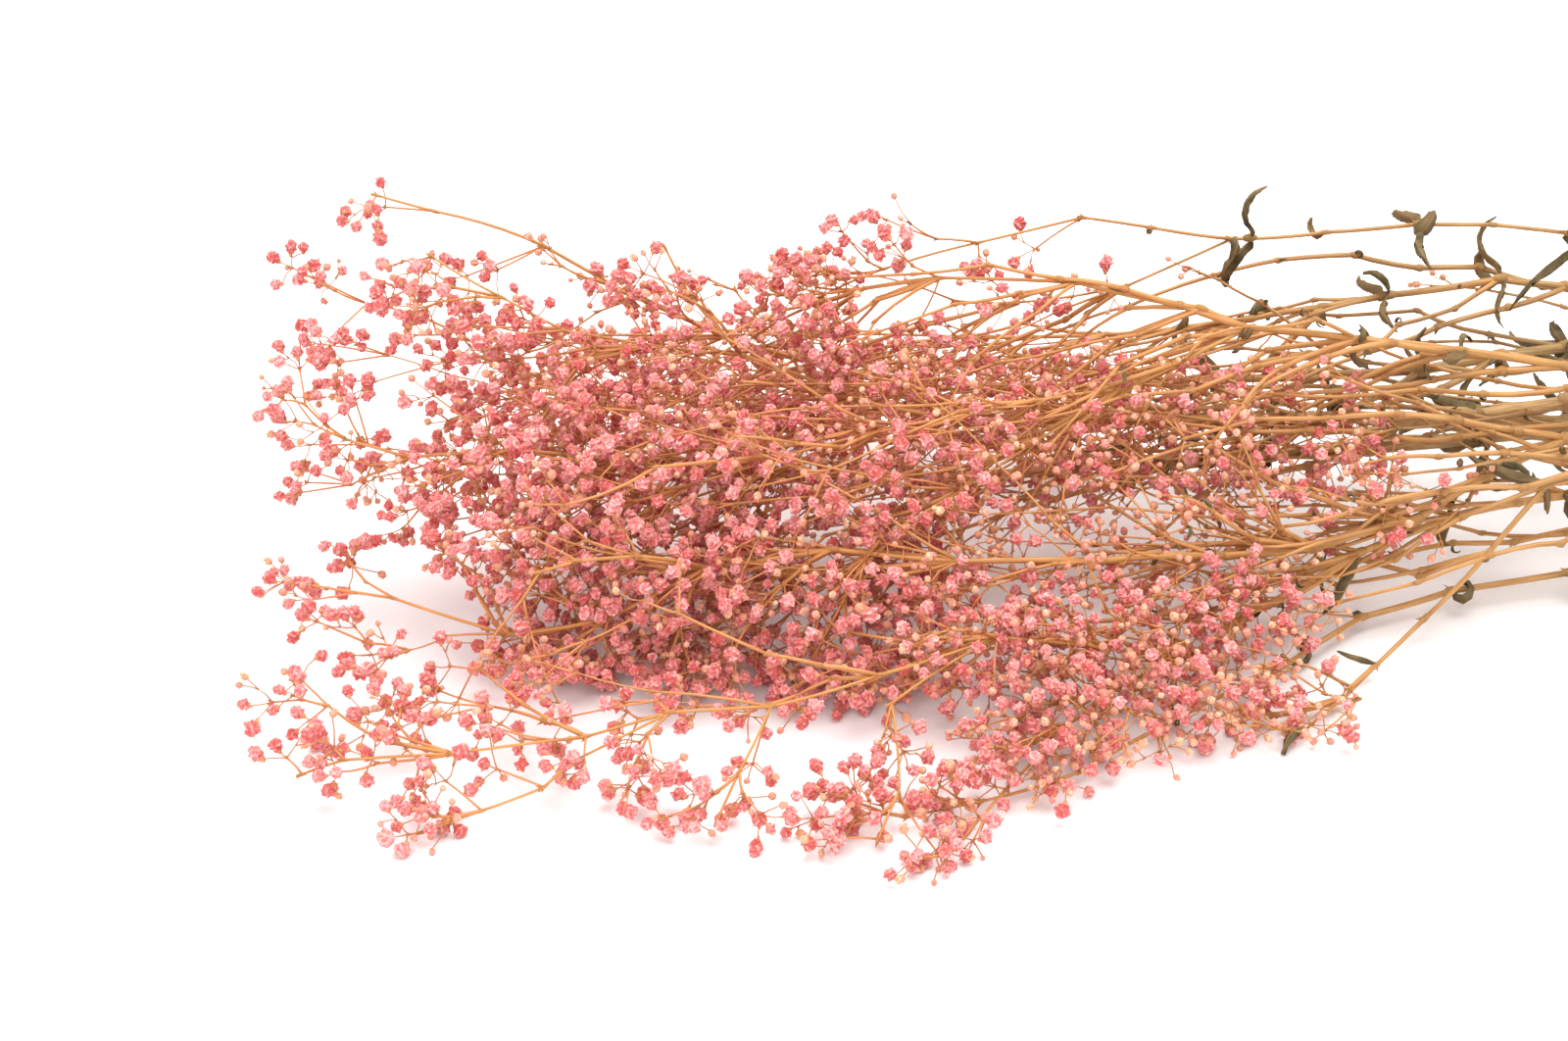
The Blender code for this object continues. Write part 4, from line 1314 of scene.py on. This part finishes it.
def above_floor(points, roots):
    """Copies of a shape, those that would sink into the floor pressed up towards their roots."""
    below = roots[:, None, 2] - points[..., 2]
    room = roots[:, None, 2] - FLOOR_GAP * MM
    pressed = below * np.clip(room / np.maximum(below.max(axis=1, keepdims=True), MM), 0.0, 1.0)
    points[..., 2] = roots[:, None, 2] - np.where(below > 0, pressed, below)
    return points


def dress(piece, node):
    """Says what a piece rides on, and hides the imported solid that it stands for."""
    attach(piece, BODY)
    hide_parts(node)


def bars(heap, shape, lines, radii, end_radii, draw, dye, bow=0.0, age=0.0):
    """Adds a stretched bar for each (start, end) line, in the tables' millimetres."""
    starts, ends = placed([line[0] for line in lines]), placed([line[1] for line in lines])
    count, lengths = len(lines), np.linalg.norm(ends - starts, axis=1)
    bows = draw.normal(0, 1, (count, 3)) * (bow * lengths)[:, None]
    points = stretched(shape, starts, ends, np.broadcast_to(radii, count) * MM,
                       np.broadcast_to(end_radii, count) * MM, bows, draw.uniform(0, math.tau, count))
    heap.add(shape, points, draw.uniform(0, 1, count), dye, lengths, age)


def joints(heap, shape, places, ways, radii, lengths, draw, dye, age=0.0):
    """Adds a swollen joint at each place."""
    count = len(places)
    sizes = np.stack([radii, radii, lengths], axis=1) * MM
    points = stood(shape, placed(places), np.array(ways, float), sizes, draw.uniform(0, math.tau, count))
    heap.add(shape, points, draw.uniform(0, 1, count), dye, age=age)


def bracts(heap, places, ways, sizes, draw, dye, age=0.0):
    """Adds a pair of pointed scales that lean out on both sides of each place."""
    shape = bract_shape()
    count = len(places)
    across, _, up = axes(np.array(ways, float), draw.uniform(0, math.tau, count))
    for side in (1, -1):
        lean = up + side * across * draw.uniform(0.5, 1.0, (count, 1))
        size = np.broadcast_to(sizes, count)[:, None] * MM * draw.uniform(0.7, 1.2, (count, 1))
        turns = draw.uniform(0, math.tau, count)
        points = stood(shape, placed(places), lean, np.repeat(size, 3, axis=1), turns)
        heap.add(shape, points, draw.uniform(0, 1, count), dye, age=age)


def heads_on(heap, shape, heads, draw):
    """Adds a floret or a bud of this shape for each of these heads."""
    if not heads:
        return
    places, ways, _, sizes = zip(*heads)
    count = len(heads)
    size = np.array(sizes)[:, None] * MM * draw.uniform(0.88, 1.1, (count, 3))
    points = stood(shape, placed(places), np.array(ways), size, draw.uniform(0, math.tau, count))
    heap.add(shape, points, draw.beta(1.6, 1.6, count))


def limbs_of(branch):
    return [name for name in LIMBS if LIMBS[name][0] == branch]


def shoots_of(branch):
    return [nodes for name, nodes in grow_shoots()[0] if LIMBS[name][0] == branch]


def twigs_of(branch):
    return [twig for twig in grow()[1] + grow_shoots()[1] if LIMBS[twig["limb"]][0] == branch]


@functools.cache
def tips_of(branch, floret_radius, bud_radius):
    """The forked tips of a branch's twigs."""
    tips = Tips(floret_radius, bud_radius)
    draw = random.Random(branch + " tips")
    for twig in twigs_of(branch):
        if twig.get("bare"):
            tips.sprig(twig, draw)
        elif twig["ends"]:
            tips.cyme(twig, draw)
    return tips


def tips_for(branch, sizes):
    return tips_of(branch, sizes.floret_radius / MM, sizes.bud_radius / MM)


def dice(name, series):
    """The random draws of one piece, which its number and its kind's series give."""
    return np.random.default_rng(SEED + 100 * series + int(name[-2:]))


def dress_branches(context, fill, look, ending, series):
    """Makes one piece for each branch, which fill heaps up, with its series of random draws."""
    finish = look(context.scene.stem_colours)
    for branch in BRANCHES:
        heap = Heap()
        fill(heap, branch, dice(branch, series), context.scene.stem_sizes)
        if heap.count:
            dress(heap.make(branch + ending, finish), branch)
    return {"FINISHED"}


class Dressing(bpy.types.Operator):
    """What the operators that make pieces share."""

    bl_options = {"REGISTER", "UNDO"}


class GYPSOPHILA_OT_main_stem(Dressing):
    """Makes the woody main stem, with its swollen nodes, its arms and its cut end"""

    bl_idname = "gypsophila.main_stem"
    bl_label = "Main stem"

    def execute(self, context):
        draw = np.random.default_rng(SEED)
        heap = Heap()
        nodes = [Vector(p) for p in MAIN_STEM]
        radii = np.linspace(MAIN_RADIUS_CUT, MAIN_RADIUS_CROWN, len(nodes))
        bars(heap, bar_shape(16, 8), list(zip(nodes, nodes[1:])), radii[:-1], radii[1:], draw, 0.0)
        way = (nodes[0] - nodes[1]).normalized()
        joints(heap, cut_shape(), [nodes[0] - way * CUT_SUNK], [way], radii[:1] * CUT_FIT,
               np.array([CUT_DEPTH]), draw, 0.0)
        ways = [after - node for node, after in zip(nodes[1:], nodes[2:])] + [nodes[-1] - nodes[-2]]
        joints(heap, joint_shape(16, 10), nodes[1:], ways, radii[1:] + NODE_SWELLING,
               np.full(len(ways), NODE_LENGTH + 1.5), draw, 0.0)
        found = arms()
        bases = slim(np.array([base for _, _, base in found])) * ARM_STOUTNESS
        bars(heap, bar_shape(10, 4), [(start, end) for start, end, _ in found], bases * 1.2, bases, draw,
             0.1, age=1.0)
        bracts(heap, nodes[1:], ways, 9.0, draw, 0.2)
        dress(heap.make("main_stem_wood", wood_look(context.scene.stem_colours)), "main_stem")
        return {"FINISHED"}


class GYPSOPHILA_OT_limbs(Dressing):
    """Makes the limbs of every branch, thick to thin, swollen and bracted at their nodes"""

    bl_idname = "gypsophila.limbs"
    bl_label = "Limbs"

    def execute(self, context):
        return dress_branches(context, self.fill, stalk_look, "_limbs", 0)

    @staticmethod
    def fill(heap, branch, draw, _):
        age = AGES[branch]
        for name in limbs_of(branch):
            nodes = trimmed_limb(name)
            radii = slim(np.array(limb_radii(name))) * stouter(nodes, LIMB_GAIN)
            lines = list(zip(nodes, nodes[1:]))
            dye = np.linspace(0.0, 0.3, len(lines))
            bars(heap, bar_shape(8, 5), lines, radii[:-1], radii[1:], draw, dye, 0.012, age)
            ways = [b - a for a, b in lines]
            joints(heap, joint_shape(8, 8), nodes, ways[:1] + ways, radii * 1.4, radii * 1.2 + 1.3, draw,
                   0.25, age)
            bracts(heap, nodes[1:], ways, 1.8 + radii[1:], draw, 0.4, age)
        for nodes in shoots_of(branch):
            lines = list(zip(nodes, nodes[1:]))
            radii = SHOOT_RADIUS * np.linspace(1.25, 0.6, len(nodes)) * draw.uniform(0.7, 1.4)
            radii = radii * stouter(nodes, SHOOT_GAIN)
            bars(heap, bar_shape(5, 3), lines, radii[:-1], radii[1:], draw, 0.4, 0.02, age)
            ways = [b - a for a, b in lines]
            joints(heap, joint_shape(5, 4), nodes[1:], ways, radii[1:] * 1.5, radii[1:] + 0.9, draw, 0.5,
                   age)
            bracts(heap, nodes[1:], ways, 1.9, draw, 0.4, age)


class GYPSOPHILA_OT_twigs(Dressing):
    """Makes every branch's hair-thin twigs and the florets' stalks, with a bracted joint at each fork"""

    bl_idname = "gypsophila.twigs"
    bl_label = "Twigs"

    def execute(self, context):
        return dress_branches(context, self.fill, stalk_look, "_twigs", 1)

    @staticmethod
    def fill(heap, branch, draw, sizes):
        tips, twigs = tips_for(branch, sizes), twigs_of(branch)
        borne = np.array([twig["count"] for twig in twigs])
        radii = sizes.twig_radius / MM * borne ** 0.36
        lines = [(twig["start"], twig.get("fork", twig["end"])) for twig in twigs]
        bars(heap, bar_shape(5, 3), lines, radii * 1.12, radii * 0.88, draw, 0.35 + 0.35 / borne, 0.02)
        ends, ways = [end for _, end in lines], [end - start for start, end in lines]
        joints(heap, joint_shape(5, 4), ends, ways, radii * 1.4, radii * 1.4 + 0.4, draw, 0.5)
        bracts(heap, ends, ways, 1.3 + radii, draw, 0.6)
        stalk = sizes.stalk_radius / MM
        bars(heap, bar_shape(3, 2), tips.stalks, stalk * 1.15, stalk, draw, 0.75, 0.06)
        places, ways = zip(*tips.bracts)
        bracts(heap, places, ways, 1.1, draw, 0.7)


class GYPSOPHILA_OT_florets(Dressing):
    """Sets a double floret on each stalk that bears one, each turned and toned in its own way"""

    bl_idname = "gypsophila.florets"
    bl_label = "Florets"

    def execute(self, context):
        return dress_branches(context, self.fill, petal_look, "_florets", 2)

    @staticmethod
    def fill(heap, branch, draw, sizes):
        florets = [head for head in tips_for(branch, sizes).heads if head[2] == "floret"]
        kinds = draw.integers(0, len(floret_shapes()), len(florets))
        for kind, shape in enumerate(floret_shapes()):
            heads_on(heap, shape, [head for head, its_kind in zip(florets, kinds) if its_kind == kind], draw)


class GYPSOPHILA_OT_buds(Dressing):
    """Sets a round or opening bud on each stalk that bears one"""

    bl_idname = "gypsophila.buds"
    bl_label = "Buds"

    def execute(self, context):
        return dress_branches(context, self.fill, bud_look, "_buds", 3)

    @staticmethod
    def fill(heap, branch, draw, sizes):
        for kind, shape in (("bud", bud_shape()), ("opening", opening_shape())):
            heads_on(heap, shape, [head for head in tips_for(branch, sizes).heads if head[2] == kind], draw)


class GYPSOPHILA_OT_leaves(Dressing):
    """Makes the pairs of dry, curled leaves that clasp the limbs"""

    bl_idname = "gypsophila.leaves"
    bl_label = "Leaves"

    def execute(self, context):
        look = leaf_look(context.scene.stem_colours)
        for name, spot, ahead, collar, pair in leaf_pairs():
            draw = dice(name, 4)
            heap = Heap()
            for line, width in pair:
                root, across = line[0]
                points = self.bent([(root.lerp(spot, 0.85), across)] + line, width)
                heap.add(leaf_shape(), points[None], draw.uniform(0, 1, 1))
            joints(heap, joint_shape(10, 6), [spot], [ahead], np.array([collar * 0.62]), np.array([2.2]),
                   draw, 0.0)
            dress(heap.make(name + "_blades", look), name)
        return {"FINISHED"}

    @staticmethod
    def bent(line, width):
        """The leaf shape, laid along a curled middle line."""
        leaf = leaf_shape().points
        spots = placed([spot for spot, _ in line])
        across = np.array([side for _, side in line])
        ways = np.gradient(spots, axis=0)
        stations = np.linspace(0, 1, len(line))
        along = np.clip(leaf[:, 2], 0, 1)
        spots, across, ways = (np.stack([np.interp(along, stations, part[:, i]) for i in range(3)], axis=1)
                               for part in (spots, across, ways))
        out = np.cross(across, ways)
        out /= np.linalg.norm(out, axis=1, keepdims=True)
        half = width / 2 * MM
        return spots + across * leaf[:, :1] * half + out * leaf[:, 1:2] * half


class GYPSOPHILA_OT_scraps(Dressing):
    """Hangs small withered leaves, rolled and curled, at the nodes of the limbs and of their shoots"""

    bl_idname = "gypsophila.scraps"
    bl_label = "Withered leaves"

    def execute(self, context):
        return dress_branches(context, self.fill, leaf_look, "_scraps", 5)

    def fill(self, heap, branch, draw, _):
        found = self.places(branch, random.Random(branch + " scraps"))
        kinds = draw.integers(0, len(scrap_shapes()), len(found))
        for kind, shape in enumerate(scrap_shapes()):
            some = [item for item, its_kind in zip(found, kinds) if its_kind == kind]
            if some:
                self.hang(heap, shape, some, draw)

    @staticmethod
    def places(branch, draw):
        """Where the branch's withered leaves hang, as (node, direction of the stalk there, length)."""
        found = []
        for name in limbs_of(branch):
            nodes = grow()[0][name]
            for before, node in zip(nodes[1:], nodes[2:]):
                if node.x > LEAFY_FROM:
                    size = ramp(node.x, LEAFY_FROM, LEAFY_OVER)
                    for _ in range(draw.choice((2, 3, 4) if AGES[branch] > LEAFY_AGE else (0, 1, 2))):
                        length = SHORTEST_SCRAP + size * draw.triangular(*SCRAP_LENGTHS)
                        found.append((node, node - before, length))
        for nodes in shoots_of(branch):
            found += [(node, node - before, draw.uniform(*SHOOT_SCRAPS))
                      for before, node in zip(nodes, nodes[1:])
                      if node.x > LEAFY_FROM and draw.random() < 0.35 + 0.5 * AGES[branch]]
        return found

    @staticmethod
    def hang(heap, shape, some, draw):
        """Adds withered leaves of one shape, which lean out from the stalk and droop."""
        nodes, stalks, lengths = zip(*some)
        count, roots = len(some), placed(nodes)
        _, out, along = axes(np.array(stalks), draw.uniform(0, math.tau, count))
        ways = out + along * draw.uniform(-0.2, 1.1, (count, 1)) - np.array((0, 0, 0.35))
        size = np.array(lengths)[:, None] * MM * draw.uniform(0.8, 1.2, (count, 3))
        size[:, 0] *= SCRAP_WIDTH
        points = stood(shape, roots, ways, size, draw.uniform(0, math.tau, count))
        heap.add(shape, above_floor(points, roots), draw.uniform(0, 1, count))


class GYPSOPHILA_OT_stage(Dressing):
    """Lays a plain pale floor and sets up soft light and the photograph's view"""

    bl_idname = "gypsophila.stage"
    bl_label = "Stage"

    def execute(self, context):
        colours = context.scene.stem_colours
        floor = start_with(bpy.ops.mesh.primitive_plane_add, size=FLOOR_WIDTH)
        floor.name = "floor"
        look = Look("pale_floor", 0.9, 0.1)
        grey = look.noise(look.place(), 3.0)
        floor.data.materials.append(look.finish(look.mix(grey * 0.04, colours.floor, (0.8, 0.8, 0.8))))
        world = bpy.data.worlds.new("studio")
        world.use_nodes = True
        light = world.node_tree.nodes["Background"].inputs
        light["Color"].default_value = (1, 1, 1, 1)
        light["Strength"].default_value = SKY_STRENGTH
        context.scene.world = world
        for settings in SOFTBOXES:
            self.softbox(*settings)
        aim = placed([VIEW_AIM])[0]
        back = np.array((0.0, -math.cos(VIEW_ELEVATION), math.sin(VIEW_ELEVATION)))
        bpy.ops.object.camera_add(location=aim + back * VIEW_DISTANCE * MM,
                                  rotation=(math.pi / 2 - VIEW_ELEVATION, 0, 0))
        camera = context.object
        camera.data.lens = VIEW_LENS
        camera.data.clip_start = 0.01
        context.scene.camera = camera
        context.scene.view_settings.view_transform = "Standard"
        return {"FINISHED"}

    @staticmethod
    def softbox(name, place, size, power):
        """A square area light that faces the stem."""
        turn = (Vector((0, 0, 0)) - Vector(place)).to_track_quat("-Z", "Y").to_euler()
        bpy.ops.object.light_add(type="AREA", location=place, rotation=turn)
        lamp = bpy.context.object
        lamp.name = name
        lamp.data.size = size
        lamp.data.energy = power


OPERATORS = (GYPSOPHILA_OT_main_stem, GYPSOPHILA_OT_limbs, GYPSOPHILA_OT_twigs, GYPSOPHILA_OT_florets,
             GYPSOPHILA_OT_buds, GYPSOPHILA_OT_leaves, GYPSOPHILA_OT_scraps, GYPSOPHILA_OT_stage)


class GYPSOPHILA_PT_dressing(bpy.types.Panel):
    """Lists the steps that dress the stem, and the sizes and colours that they use"""

    bl_idname = "GYPSOPHILA_PT_dressing"
    bl_label = "Gypsophila Stem"
    bl_space_type = "VIEW_3D"
    bl_region_type = "UI"
    bl_category = "Gypsophila"

    def draw(self, context):
        for operator in OPERATORS:
            self.layout.operator(operator.bl_idname)
        for group in (context.scene.stem_sizes, context.scene.stem_colours):
            for name in group.bl_rna.properties.keys():
                if name not in ("rna_type", "name"):
                    self.layout.prop(group, name)


CLASSES = (StemSizes, StemColours) + OPERATORS + (GYPSOPHILA_PT_dressing,)


def register():
    for item in CLASSES:
        bpy.utils.register_class(item)
    bpy.types.Scene.stem_sizes = PointerProperty(type=StemSizes)
    bpy.types.Scene.stem_colours = PointerProperty(type=StemColours)


def unregister():
    del bpy.types.Scene.stem_colours
    del bpy.types.Scene.stem_sizes
    for item in reversed(CLASSES):
        bpy.utils.unregister_class(item)


def main():
    register()
    bpy.ops.gypsophila.main_stem()
    bpy.ops.gypsophila.limbs()
    bpy.ops.gypsophila.twigs()
    bpy.ops.gypsophila.florets()
    bpy.ops.gypsophila.buds()
    bpy.ops.gypsophila.leaves()
    bpy.ops.gypsophila.scraps()
    bpy.ops.gypsophila.stage()
    bpy.context.view_layer.update()


if __name__ == "__main__":
    main()
